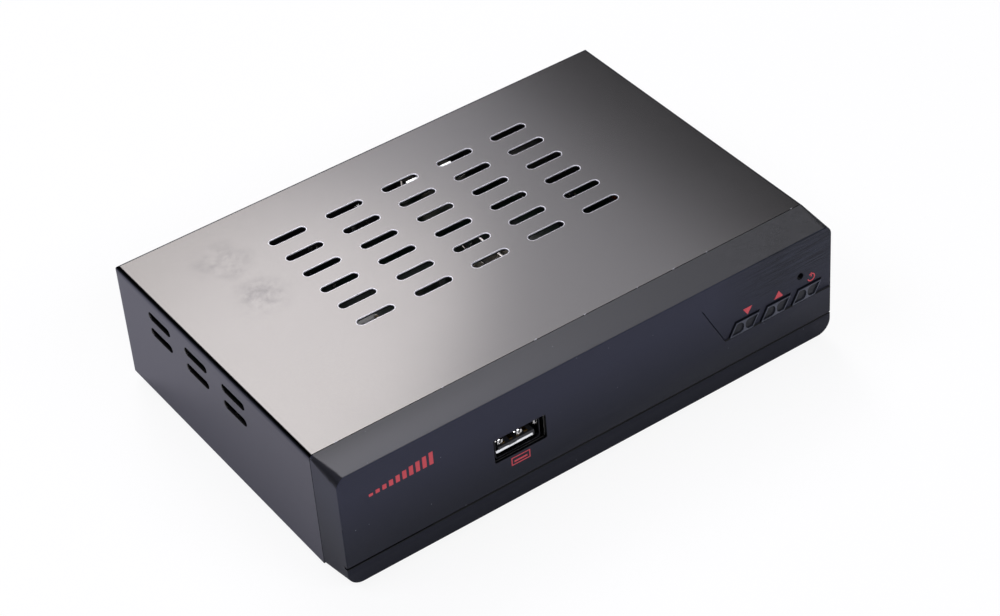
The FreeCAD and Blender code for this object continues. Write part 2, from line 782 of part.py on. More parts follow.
def link_header():
    """Housing of the pin header that joins the two boards."""
    half = header_pins * header_pitch / 2
    y0 = main_board_front + header_pitch
    z = header_z()
    housing = block(
        (header_x - half, header_x + half), (y0 - header_pitch / 2, y0 + header_pitch / 2),
        (board_top, z + header_pitch / 2))
    hole = header_pin / 2 + fit_gap
    cutters = []
    for x in header_places():
        cutters.append(block((x - hole, x + hole), (y0 - header_pitch, y0 + hole), (z - hole, z + hole)))
        cutters.append(block((x - hole, x + hole), (y0 - hole, y0 + hole), (board_top - 1, z + hole)))
    return housing.cut(cutters)


def link_pins():
    """Bent pins: one leg through the front board, the other through the main board."""
    half = header_pin / 2
    y0 = main_board_front + header_pitch
    z = header_z()
    pins = []
    for x in header_places():
        level = block((x - half, x + half), (front_board_y - header_tail, y0 + half), (z - half, z + half))
        drop = block((x - half, x + half), (y0 - half, y0 + half), (board_under - header_tail, z + half))
        pins.append(level.fuse(drop).removeSplitter())
    return group(pins)


# --- Front data socket ------------------------------------------------------------------------------
def data_shell_part():
    """A steel tube with two spring fingers folded in from its top."""
    z = case_top - data_drop
    mouth = face_y + data_mouth
    outer_w, outer_h = data_inside_width / 2 + data_shell, data_inside_height / 2 + data_shell

    def tube(half_w, half_h, radius, start, end):
        solid = block((data_x - half_w, data_x + half_w), (start, end), (z - half_h, z + half_h))
        return solid.makeFillet(radius, [e for e in solid.Edges if e.BoundBox.YLength > data_length / 2])

    def flare(half_w, half_h, radius):
        def ring(y, grow):
            outline = rounded_outline(y, half_w + grow, z - half_h - grow, z + half_h + grow, radius, radius)
            outline.translate(RIGHT * data_x)
            return outline

        return Part.makeLoft([ring(mouth, data_flare), ring(mouth + data_flare_length, 0.0)], True, True)

    shell = tube(outer_w, outer_h, 0.8, mouth + data_flare_length, front_board_y)
    shell = shell.fuse(flare(outer_w, outer_h, 0.8)).cut([
        tube(outer_w - data_shell, outer_h - data_shell, 0.5, mouth + data_flare_length / 2, front_board_y + 1),
        flare(outer_w - data_shell, outer_h - data_shell, 0.5)])
    top = z + data_inside_height / 2
    for place in data_spring_places:
        x = data_x + place - data_spring_width / 2
        start, knee, root = (mouth + step for step in (data_spring_start, data_spring_knee, data_spring_root))
        low, high = top - data_spring_dip, top - data_spring_dip + data_shell
        finger = prism([
            V(x, root, top + data_shell / 3), V(x, knee, low), V(x, start, low + data_shell),
            V(x, start, high + data_shell), V(x, knee, high), V(x, root - 5 * data_shell, top + data_shell / 3),
        ], RIGHT * data_spring_width)
        shell = shell.fuse(finger)
    return shell


def data_tongue_part():
    """The insulator: a base that fills the back of the shell and a tongue near its floor."""
    z = case_top - data_drop
    mouth = face_y + data_mouth
    half_w, half_h = data_inside_width / 2 - fit_gap, data_inside_height / 2 - fit_gap
    base = block(
        (data_x - half_w, data_x + half_w), (front_board_y - data_base, front_board_y), (z - half_h, z + half_h))
    base = base.makeFillet(0.5, [e for e in base.Edges if e.BoundBox.YLength > data_base / 2])
    low = z - data_inside_height / 2 + data_tongue_seat
    tongue = block(
        (data_x - data_tongue_width / 2, data_x + data_tongue_width / 2),
        (mouth + data_tongue_recess, front_board_y - data_base / 2), (low, low + data_tongue))
    return base.fuse(tongue)


def data_contacts():
    low = case_top - data_drop - data_inside_height / 2 + data_tongue_seat + data_tongue
    start = face_y + data_mouth + data_tongue_recess + 0.8
    return group([
        block((data_x + place - data_contact_width / 2, data_x + place + data_contact_width / 2),
              (start, start + data_contact_length), (low, low + data_contact))
        for place in data_contact_places])


# --- Main board -----------------------------------------------------------------------------------
def board_hole_places():
    xs = (board_hole_inset - main_board_half, main_board_half - board_hole_inset)
    ys = (main_board_front + board_hole_inset, rear_inside - tuner_depth - board_hole_inset)
    return [(x, y) for x in xs for y in ys]


def main_board():
    plate = block(
        (-main_board_half, main_board_half), (main_board_front, main_board_back), (board_under, board_top))
    cutters = [rod(screw_hole, V(x, y, board_under - board), UP, 3 * board) for x, y in board_hole_places()]
    side = header_pin + 2 * fit_gap
    y0 = main_board_front + header_pitch
    cutters += [centred_block(x, y0, board_under - board, side, side, 3 * board) for x in header_places()]
    return plate.cut(cutters)


def board_standoffs():
    return group([
        rod(standoff_radius, V(x, y, floor_top), UP, board_under - floor_top).cut(
            rod(pilot_hole, V(x, y, floor_top - 1), UP, board_under - floor_top + 2))
        for x, y in board_hole_places()])


def board_screws():
    return group([screw(V(x, y, board_top), -UP, board + board_screw_reach) for x, y in board_hole_places()])


# --- Tuner and aerial sockets -----------------------------------------------------------------------
def aerial_places():
    return [tuner_x + offset for offset in spread(2, tuner_width - 2 * aerial_margin)]


def aerial_z():
    return board_top + tuner_height / 2


def tuner_can():
    """A tinned steel box round the tuner, open on top until its lid closes it."""
    x = (tuner_x - tuner_width / 2, tuner_x + tuner_width / 2)
    y = (main_board_back - tuner_depth, main_board_back)
    w = tuner_wall
    can = block(x, y, (board_top, board_top + tuner_height))
    inside = block((x[0] + w, x[1] - w), (y[0] + w, y[1] - w), (board_top + w, board_top + tuner_height + w))
    starts = [V(place, y[1] - 2 * w, aerial_z()) for place in aerial_places()]
    return can.cut([inside] + [rod(aerial_radius + fit_gap, start, BACK, 3 * w) for start in starts])


def tuner_lid():
    """A pressed lid with a skirt that grips the can on three sides."""
    w = tuner_wall
    grow = fit_gap + w
    x = (tuner_x - tuner_width / 2 - grow, tuner_x + tuner_width / 2 + grow)
    y = (main_board_back - tuner_depth - grow, main_board_back - fit_gap)
    top = board_top + tuner_height + w
    lid = block(x, y, (top - w - tuner_lid_skirt, top))
    lid = lid.cut(block((x[0] + w, x[1] - w), (y[0] + w, y[1] + w), (top - w - tuner_lid_skirt - 1, top - w)))
    return lid


def aerial_start():
    """Where the barrels begin, inside the tuner."""
    return main_board_back - tuner_wall - aerial_root


def aerial_barrels():
    """Threaded barrels of the two aerial sockets, at their outside diameter, with collars through the wall."""
    end = back_y + rear_reach

    def barrel(x):
        start = aerial_start()
        tube = rod(aerial_radius, V(x, start, aerial_z()), BACK, end - start)
        lip = [e for e in tube.Edges if abs(e.BoundBox.YMin - end) < 0.001]
        tube = tube.makeChamfer(aerial_chamfer, lip[:1])
        collar_length = rear_outside + aerial_collar - main_board_back
        collar = rod(aerial_collar_radius, V(x, main_board_back, aerial_z()), BACK, collar_length)
        bore = rod(aerial_bore, V(x, start + aerial_end, aerial_z()), BACK, end - start)
        return tube.fuse(collar).cut(bore)

    return [barrel(x) for x in aerial_places()]


def aerial_insulators():
    start = aerial_start() + aerial_end
    length = back_y + rear_reach - aerial_plug_recess - start
    room = aerial_contact_radius + aerial_contact_wall + fit_gap
    return group([
        rod(aerial_bore - fit_gap, V(x, start, aerial_z()), BACK, length).cut(
            rod(room, V(x, start + 2 * aerial_end, aerial_z()), BACK, length))
        for x in aerial_places()])


def aerial_contacts():
    """Spring sleeves that take the cable's core."""
    start = aerial_start() + 3 * aerial_end
    length = back_y + rear_reach - aerial_plug_recess - aerial_contact_recess - start
    return group([
        rod(aerial_contact_radius + aerial_contact_wall, V(x, start, aerial_z()), BACK, length).cut(
            rod(aerial_contact_radius, V(x, start + aerial_end, aerial_z()), BACK, length))
        for x in aerial_places()])


# --- Rear sockets ---------------------------------------------------------------------------------
def video_outline(y, inset):
    """A rectangle with its lower corners cut off."""
    half, cut = video_width / 2 - inset, video_chamfer
    low, high = board_top + inset, board_top + video_height - inset
    return [
        V(video_x - half + cut, y, low), V(video_x + half - cut, y, low), V(video_x + half, y, low + cut),
        V(video_x + half, y, high), V(video_x - half, y, high), V(video_x - half, y, low + cut),
    ]


def video_mouth():
    return rear_outside + video_stand_out


def video_shell_part():
    start = video_mouth() - video_depth
    shell = prism(video_outline(start, 0.0), BACK * video_depth)
    return shell.cut(prism(video_outline(start + video_shell, video_shell), BACK * video_depth))


def video_tongue_part():
    start = video_mouth() - video_depth + video_shell
    base = prism(video_outline(start, video_shell + fit_gap), BACK * video_base)
    middle = board_top + video_height / 2
    tongue = block(
        (video_x - video_tongue_width / 2, video_x + video_tongue_width / 2),
        (start + video_base / 2, video_mouth() - video_tongue_recess),
        (middle - video_tongue / 2, middle + video_tongue / 2))
    return base.fuse(tongue)


def jack_z():
    return board_top + jack_height


def jack_block():
    """The plastic body that holds the three jacks against the rear wall."""
    block_back = rear_inside - fit_gap
    sides = (jack_places[0] - jack_pitch / 2, jack_places[-1] + jack_pitch / 2)
    body = block(sides, (block_back - jack_block_depth, block_back), (board_top, board_top + jack_block_height))
    for x in jack_places:
        seat = V(x, block_back - jack_seat - fit_gap, jack_z())
        root = V(x, block_back - jack_block_depth / 2, jack_z())
        body = body.cut([
            rod(jack_collar_radius + fit_gap, seat, BACK, 2 * jack_seat),
            rod(jack_radius + fit_gap, root, BACK, jack_block_depth)])
    return body


def jack_barrels():
    """Nickelled sleeves, each with a collar from its seat in the block through the rear wall."""
    block_back = rear_inside - fit_gap
    start = block_back - jack_block_depth / 2 + fit_gap
    length = back_y + jack_reach - start
    collar_length = rear_outside + jack_collar - block_back + jack_seat
    barrels = []
    for x in jack_places:
        tube = rod(jack_radius, V(x, start, jack_z()), BACK, length)
        collar = rod(jack_collar_radius, V(x, block_back - jack_seat, jack_z()), BACK, collar_length)
        barrels.append(tube.fuse(collar).cut(rod(jack_bore, V(x, start + jack_end, jack_z()), BACK, length)))
    return group(barrels)


def jack_insert(index):
    """A coloured insulator with a hole for the plug's pin."""
    x = jack_places[index]
    start = rear_inside - jack_block_depth / 2 + jack_end
    end = back_y + jack_reach - jack_insert_recess
    insert = rod(jack_bore - fit_gap, V(x, start, jack_z()), BACK, end - start)
    return insert.cut(rod(jack_contact_radius, V(x, start + 2 * jack_end, jack_z()), BACK, end - start))


def power_jack_body():
    z = board_top + power_axis
    end = rear_inside - fit_gap
    body = block(
        (power_x - power_width / 2, power_x + power_width / 2), (end - power_depth, end),
        (board_top, board_top + power_height))
    nose = rod(power_nose_radius, V(power_x, end - 1, z), BACK, rear_outside - end + 1)
    bore = rod(power_bore, V(power_x, rear_outside - power_bore_depth, z), BACK, power_bore_depth + 1)
    return body.fuse(nose).cut(bore)


def power_jack_pin():
    z = board_top + power_axis
    start = rear_outside - power_bore_depth
    pin = rod(power_pin_radius, V(power_x, start, z), BACK, power_bore_depth - power_pin_recess)
    tip = [e for e in pin.Edges if e.BoundBox.YMin > start + power_bore_depth / 2]
    return pin.makeFillet(power_pin_radius / 2, tip[:1])


# --- Parts on the main board --------------------------------------------------------------------------
def processor():
    y = seam_y + processor_y
    return centred_block(processor_x, y, board_top, processor_size, processor_size, processor_height)


def heat_sink():
    """A finned block that sits on the processor."""
    y = seam_y + processor_y
    base_z = board_top + processor_height
    sink = centred_block(processor_x, y, base_z, sink_size, sink_size, sink_base)
    root = base_z + sink_base / 2
    fin_height = sink_base / 2 + sink_fin_height
    places = [processor_x + offset for offset in spread(sink_fins, (sink_size - sink_fin) / (sink_fins - 1))]
    fins = [centred_block(x, y, root, sink_fin, sink_size, fin_height) for x in places]
    return sink.fuse(fins).removeSplitter()


def memory_chip():
    return centred_block(memory_x, seam_y + memory_y, board_top, memory_length, memory_width, memory_height)


def program_store():
    return centred_block(store_x, seam_y + store_y, board_top, store_size, store_size, store_height)


def crystal():
    centre = V(crystal_x, seam_y + crystal_y, board_top)
    can = slot(centre, RIGHT, BACK, crystal_length, crystal_width, UP * crystal_height)
    upper = [e for e in can.Edges if e.BoundBox.ZMin > board_top + crystal_height / 2]
    return can.makeFillet(0.4, upper)


def beside(power_places, tuner_places):
    """Places given from the power jack's middle and from the tuner's, as places on the board."""
    return [(power_x + x, y) for x, y in power_places] + [(tuner_x + x, y) for x, y in tuner_places]


def capacitor_cans():
    cans = []
    places = [(power_x, size) for size in power_capacitors] + [(tuner_x, size) for size in tuner_capacitors]
    for start, (x, y, radius, height) in places:
        can = rod(radius, V(start + x, seam_y + y, board_top), UP, height)
        top = [e for e in can.Edges if e.BoundBox.ZMin > board_top + height / 2]
        cans.append(can.makeFillet(0.5, top[:1]))
    return group(cans)


def power_chokes():
    """Drum cores: a waist between two round ends."""
    drums = []
    for x, y in beside(power_chokes_at, tuner_chokes_at):
        low = V(x, seam_y + y, board_top)
        ends = [rod(choke_radius, low, UP, choke_end),
                rod(choke_radius, low + UP * (choke_height - choke_end), UP, choke_end)]
        drums.append(rod(choke_waist, low, UP, choke_height).fuse(ends))
    return group(drums)


def voltage_regulators():
    return group([
        centred_block(x, seam_y + y, board_top, regulator_width, regulator_depth, regulator_height)
        for x, y in beside(power_regulators_at, tuner_regulators_at)])


# --- Nodes ----------------------------------------------------------------------------------------
def nodes():
    made = {
        "top_cover": top_cover(),
        "bottom_chassis": bottom_chassis(),
        "front_bezel": front_bezel(),
        "rubber_feet": rubber_feet(),
        "cover_screws": cover_screws(),
        "bezel_screws": bezel_screws(),
        "front_board": front_board(),
        "front_board_screws": front_board_screws(),
        "switch_bodies": switch_bodies(),
        "switch_plates": switch_plates(),
        "infrared_receiver": infrared_receiver(),
        "standby_lamp": standby_lamp(),
        "link_header": link_header(),
        "link_pins": link_pins(),
        "data_socket_shell": data_shell_part(),
        "data_socket_tongue": data_tongue_part(),
        "data_socket_contacts": data_contacts(),
        "main_board": main_board(),
        "board_standoffs": board_standoffs(),
        "board_screws": board_screws(),
        "tuner_can": tuner_can(),
        "tuner_lid": tuner_lid(),
        "aerial_socket_loop": aerial_barrels()[0],
        "aerial_socket_in": aerial_barrels()[1],
        "aerial_insulators": aerial_insulators(),
        "aerial_contacts": aerial_contacts(),
        "video_socket_shell": video_shell_part(),
        "video_socket_tongue": video_tongue_part(),
        "jack_block": jack_block(),
        "jack_barrels": jack_barrels(),
        "power_jack_body": power_jack_body(),
        "power_jack_pin": power_jack_pin(),
        "processor": processor(),
        "heat_sink": heat_sink(),
        "memory_chip": memory_chip(),
        "program_store": program_store(),
        "crystal": crystal(),
        "capacitor_cans": capacitor_cans(),
        "power_chokes": power_chokes(),
        "voltage_regulators": voltage_regulators(),
    }
    for index, name in enumerate(key_names):
        made["key_" + name] = key(index)
        made["switch_plunger_" + name] = switch_plunger(index)
    for index, colour in enumerate(jack_colours):
        made["jack_insert_" + colour] = jack_insert(index)
    return made


os.makedirs("parts", exist_ok=True)
for name, shape in nodes().items():
    shape.exportStep("parts/" + name + ".step")
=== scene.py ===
import math
import random
import bpy
import bmesh
from mathutils import Matrix, Vector
from mathutils.bvhtree import BVHTree


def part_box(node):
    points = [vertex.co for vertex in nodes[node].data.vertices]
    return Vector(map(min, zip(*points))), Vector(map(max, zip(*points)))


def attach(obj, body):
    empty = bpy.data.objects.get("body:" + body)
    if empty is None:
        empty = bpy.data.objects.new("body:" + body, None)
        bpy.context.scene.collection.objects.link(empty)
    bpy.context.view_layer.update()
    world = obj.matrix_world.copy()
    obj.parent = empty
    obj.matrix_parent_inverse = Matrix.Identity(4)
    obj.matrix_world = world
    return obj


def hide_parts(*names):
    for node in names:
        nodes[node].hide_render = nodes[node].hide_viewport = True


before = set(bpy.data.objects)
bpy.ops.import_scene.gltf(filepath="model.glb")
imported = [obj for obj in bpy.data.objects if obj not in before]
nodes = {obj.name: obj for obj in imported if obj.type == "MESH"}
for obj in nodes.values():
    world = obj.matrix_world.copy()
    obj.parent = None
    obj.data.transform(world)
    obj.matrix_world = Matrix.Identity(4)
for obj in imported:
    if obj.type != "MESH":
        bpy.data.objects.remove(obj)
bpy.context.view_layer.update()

mm = 0.001
perMm = (1000, 1000, 1000)


def hexColour(text):
    parts = [int(text[i:i + 2], 16) / 255 for i in (1, 3, 5)]
    linear = [c / 12.92 if c <= 0.04045 else ((c + 0.055) / 1.055) ** 2.4 for c in parts]
    return (*linear, 1.0)


def link(tree, node, sources):
    # a node given as a source stands for its first output
    for name, source in sources.items():
        tree.links.new(getattr(source, "outputs", [source])[0], node.inputs[name])


def addNode(tree, kind, settings=None, links=None):
    node = tree.nodes.new("ShaderNode" + kind)
    for name, value in (settings or {}).items():
        if isinstance(name, int) or name in node.inputs:
            node.inputs[name].default_value = value
        else:
            setattr(node, name, value)
    link(tree, node, links or {})
    return node


def newMaterial(name, settings):
    material = bpy.data.materials.new(name)
    material.use_nodes = True
    tree = material.node_tree
    shader = tree.nodes["Principled BSDF"]
    for socket, value in settings.items():
        shader.inputs[socket].default_value = value
    return material, tree, shader


def objectPlace(tree, scale=(1, 1, 1), location=(0, 0, 0)):
    place = addNode(tree, "TexCoord")
    return addNode(tree, "Mapping", {"Scale": scale, "Location": location}, {"Vector": place.outputs["Object"]})


def ramp(tree, source, stops):
    node = addNode(tree, "ValToRGB", {}, {"Fac": source})
    while len(node.color_ramp.elements) < len(stops):
        node.color_ramp.elements.new(0.5)
    for element, (position, colour) in zip(node.color_ramp.elements, stops):
        element.position = position
        element.color = hexColour(colour) if isinstance(colour, str) else (colour, colour, colour, 1)
    return node


def overlay(tree, colour, layers):
    # colours laid over one another, each where its mask is white
    for over, mask in layers:
        mix = addNode(tree, "Mix", {"data_type": "RGBA", 7: hexColour(over)}, {0: mask})
        if isinstance(colour, str):
            mix.inputs[6].default_value = hexColour(colour)
        else:
            link(tree, mix, {6: colour})
        colour = mix.outputs[2]
    return colour


def bump(tree, shader, height, strength, distance):
    settings = {"Strength": strength, "Distance": distance}
    node = addNode(tree, "Bump", settings, {"Height": height})
    link(tree, shader, {"Normal": node})


def finishSurface(tree, shader, mask, dull, height, strength, depth, colour=None):
    # roughness runs from dull[0] to dull[1] with the mask; depth is the bump's, in mm
    rough = addNode(tree, "MapRange", {"To Min": dull[0], "To Max": dull[1]}, {"Value": mask})
    link(tree, shader, {"Roughness": rough} if colour is None else {"Base Color": colour, "Roughness": rough})
    bump(tree, shader, height, strength, depth * mm)


# meshes are worked in millimetres and made metres when a piece is finished
def nodeMesh(name):
    # the CAD mesh as one closed surface, flat faces joined
    bm = bmesh.new()
    bm.from_mesh(nodes[name].data)
    bmesh.ops.scale(bm, vec=perMm, verts=bm.verts)
    bmesh.ops.remove_doubles(bm, verts=bm.verts, dist=0.002)
    bmesh.ops.dissolve_limit(bm, angle_limit=math.radians(0.6), verts=bm.verts, edges=bm.edges)
    return bm


def boxOf(node):
    low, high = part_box(node)
    return Vector(low) * 1000, Vector(high) * 1000


def middleOf(node):
    low, high = boxOf(node)
    return (low + high) / 2


def block(bm, low, high):
    size = [b - a for a, b in zip(low, high)]
    centre = [(a + b) / 2 for a, b in zip(low, high)]
    place = Matrix.Translation(centre) @ Matrix.Diagonal((*size, 1))
    return bmesh.ops.create_cube(bm, size=1, matrix=place)["verts"]


def turned(outline, steps=32, angle=math.tau, ring=False):
    # outline is (radius, height) points; ring closes it for a shape with a hole
    bm = bmesh.new()
    verts = [bm.verts.new((r, 0, h)) for r, h in outline]
    edges = [bm.edges.new(pair) for pair in zip(verts, verts[1:])]
    if ring:
        edges.append(bm.edges.new((verts[-1], verts[0])))
    bmesh.ops.spin(bm, geom=verts + edges, cent=(0, 0, 0), axis=(0, 0, 1), dvec=(0, 0, 0), angle=angle,
                   steps=steps, use_merge=angle == math.tau)
    bmesh.ops.remove_doubles(bm, verts=bm.verts, dist=0.0005)
    if angle < math.tau:
        bmesh.ops.holes_fill(bm, edges=[e for e in bm.edges if e.is_boundary], sides=len(outline))
    bmesh.ops.recalc_face_normals(bm, faces=bm.faces)
    return bm


def slab(points, depth):
    # an outline in X and Z, made solid towards +Y
    bm = bmesh.new()
    face = bm.faces.new([bm.verts.new((x, 0, z)) for x, z in points])
    made = bmesh.ops.extrude_face_region(bm, geom=[face])
    moved = [g for g in made["geom"] if isinstance(g, bmesh.types.BMVert)]
    bmesh.ops.translate(bm, vec=(0, depth, 0), verts=moved)
    bmesh.ops.recalc_face_normals(bm, faces=bm.faces)
    return bm


def strip(line, x, width, thick):
    # sheet metal that follows a line of (y, z) points
    bm = bmesh.new()
    verts = [bm.verts.new((x - width / 2, y, z)) for y, z in line]
    edges = [bm.edges.new(pair) for pair in zip(verts, verts[1:])]
    made = bmesh.ops.extrude_edge_only(bm, edges=edges)
    bmesh.ops.translate(bm, vec=(width, 0, 0), verts=[g for g in made["geom"] if isinstance(g, bmesh.types.BMVert)])
    bmesh.ops.solidify(bm, geom=bm.faces[:], thickness=thick)
    bmesh.ops.recalc_face_normals(bm, faces=bm.faces)
    return bm


def join(bm, part, *matrices):
    # adds a copy of part at each place
    mesh = bpy.data.meshes.new("part")
    part.to_mesh(mesh)
    part.free()
    for matrix in matrices or [Matrix.Identity(4)]:
        copy = mesh.copy()
        copy.transform(matrix)
        bm.from_mesh(copy)
        bpy.data.meshes.remove(copy)
    bpy.data.meshes.remove(mesh)


def placed(part, *matrices):
    bm = bmesh.new()
    join(bm, part, *matrices)
    return bm


def at(place, direction=(0, 0, 1)):
    # a part made along +Z, turned along direction and moved to place; straight up, it's also turned half round
    turn = Vector(direction).to_track_quat("Z", "Y").to_matrix().to_4x4()
    return Matrix.Translation(place) @ turn


def turnZ(angle):
    return Matrix.Rotation(angle, 4, "Z")


def newObject(name, data):
    obj = bpy.data.objects.new(name, data)
    bpy.context.scene.collection.objects.link(obj)
    return obj


def cutAway(whole, tool):
    objects = []
    for name, source in (("whole", whole), ("tool", tool)):
        mesh = bpy.data.meshes.new(name)
        source.to_mesh(mesh)
        source.free()
        objects.append(newObject(name, mesh))
    cutter = objects[0].modifiers.new("cut", "BOOLEAN")
    cutter.operation = "DIFFERENCE"
    cutter.solver = "EXACT"
    cutter.use_self = True   # a cross-shaped tool runs through itself
    cutter.object = objects[1]
    graph = bpy.context.evaluated_depsgraph_get()
    shape = bpy.data.meshes.new_from_object(objects[0].evaluated_get(graph))
    result = bmesh.new()
    result.from_mesh(shape)
    bpy.data.meshes.remove(shape)
    for obj in objects:
        bpy.data.objects.remove(obj)
    return result


def piece(bm, name, material, body="case", replaces=(), smooth=34, bevel=0, bevelAngle=40):
    if bevel:
        sharp = [e for e in bm.edges if len(e.link_faces) == 2
                 and e.calc_face_angle(0) > math.radians(bevelAngle)]
        bmesh.ops.bevel(bm, geom=sharp, offset=bevel, offset_type="OFFSET", segments=2, profile=0.5,
                        affect="EDGES", clamp_overlap=True, material=-1)
        bmesh.ops.remove_doubles(bm, verts=bm.verts, dist=0.0005)
        bmesh.ops.dissolve_degenerate(bm, dist=0.0005, edges=bm.edges)
    bmesh.ops.scale(bm, vec=(mm, mm, mm), verts=bm.verts)
    mesh = bpy.data.meshes.new(name)
    bm.to_mesh(mesh)
    bm.free()
    mesh.materials.append(material)
    mesh.shade_smooth()
    mesh.set_sharp_from_angle(angle=math.radians(smooth))
    obj = newObject(name, mesh)
    # large faces keep their own direction, so only the rounded edges turn the light
    even = obj.modifiers.new("even", "WEIGHTED_NORMAL")
    even.keep_sharp = True
    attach(obj, body)
    if replaces:
        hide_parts(*replaces)


def rounded(node, name, material, edge, sharpFrom=40, body="case"):
    # a CAD node's own shape with its sharp edges rounded
    piece(nodeMesh(node), name, material, body=body, replaces=[node], bevel=edge, bevelAngle=sharpFrom)


def distanceFrom(tree, place, half):
    # distance from a box round the origin, nought inside it
    for operation, value in (("ABSOLUTE", None), ("SUBTRACT", half), ("MAXIMUM", (0, 0, 0)), ("LENGTH", None)):
        settings = {"operation": operation}
        if value:
            settings[1] = value
        node = addNode(tree, "VectorMath", settings, {0: place})
        place = node.outputs["Value" if operation == "LENGTH" else "Vector"]
    return place


def specks(tree, apart=2.0, radius=0.13, share=0.1):
    # a few grains of dust, in mm
    cells = addNode(tree, "TexVoronoi", {"Scale": 1 / (apart * mm)}, {"Vector": objectPlace(tree)})
    near = addNode(tree, "Math", {"operation": "LESS_THAN", 1: radius / apart}, {0: cells.outputs["Distance"]})
    pick = addNode(tree, "SeparateColor", {}, {0: cells.outputs["Color"]})
    chosen = addNode(tree, "Math", {"operation": "LESS_THAN", 1: share}, {0: pick})
    return addNode(tree, "Math", {"operation": "MULTIPLY"}, {0: near, 1: chosen})


coverPaint = {
    "colour": "#4c4b49",
    "grain": "#4a4947",
    "smeared": "#454443",
    # paler rims where the punch thinned the paint, lightened further as a painted highlight
    "rim": "#b0b0b5",
    # painted shade on the bends
    "bend": "#07080b",
    # bare steel at the front edge's nicks, painted bright as glints
    "nick": "#9c9ca2",
    "edgeTint": "#dcdce6",
    "metallic": 0.9,
    "roughness": 0.15,
    # mm, sizes of the paint's ripple, its cloudiness, its flake, a finger's mark and the gaps between nicks
    "peel": 1.6,
    "cloud": 38,
    "flake": 0.45,
    "fingerprint": 6,
    "nickGap": 4,
    "frontEdge": -46.4,               # mm, in front of this the edge is nicked, the nicks painted bright as glints
    # the way across each bend, and how far along it in mm the painted shade darkens the paint
    "sideBend": ((1, 0, 0.444), 93.55, 93.95),
    "backBend": ((0, 1, 1), 86.4, 86.7),
    "smudges": ((-54.0, 13.0, 38.4), (-55.0, 32.0, 38.4)),
    "smudgeReach": (3.0, 10.0),       # mm, where a smudge begins to fade and where it ends
    # mm, the punched vents in the top
    "ventMiddle": (0.6, 8.95, 38.4),
    "ventPitch": (18.0, 8.5),
    "ventGrid": (45.0, 25.5, 0.2),
    "vent": (11.0, 2.4),
    "rimWidth": (0.2, 0.34),          # mm, from the vent's edge to where the pale rim and its painted highlight begin to fade and end
}


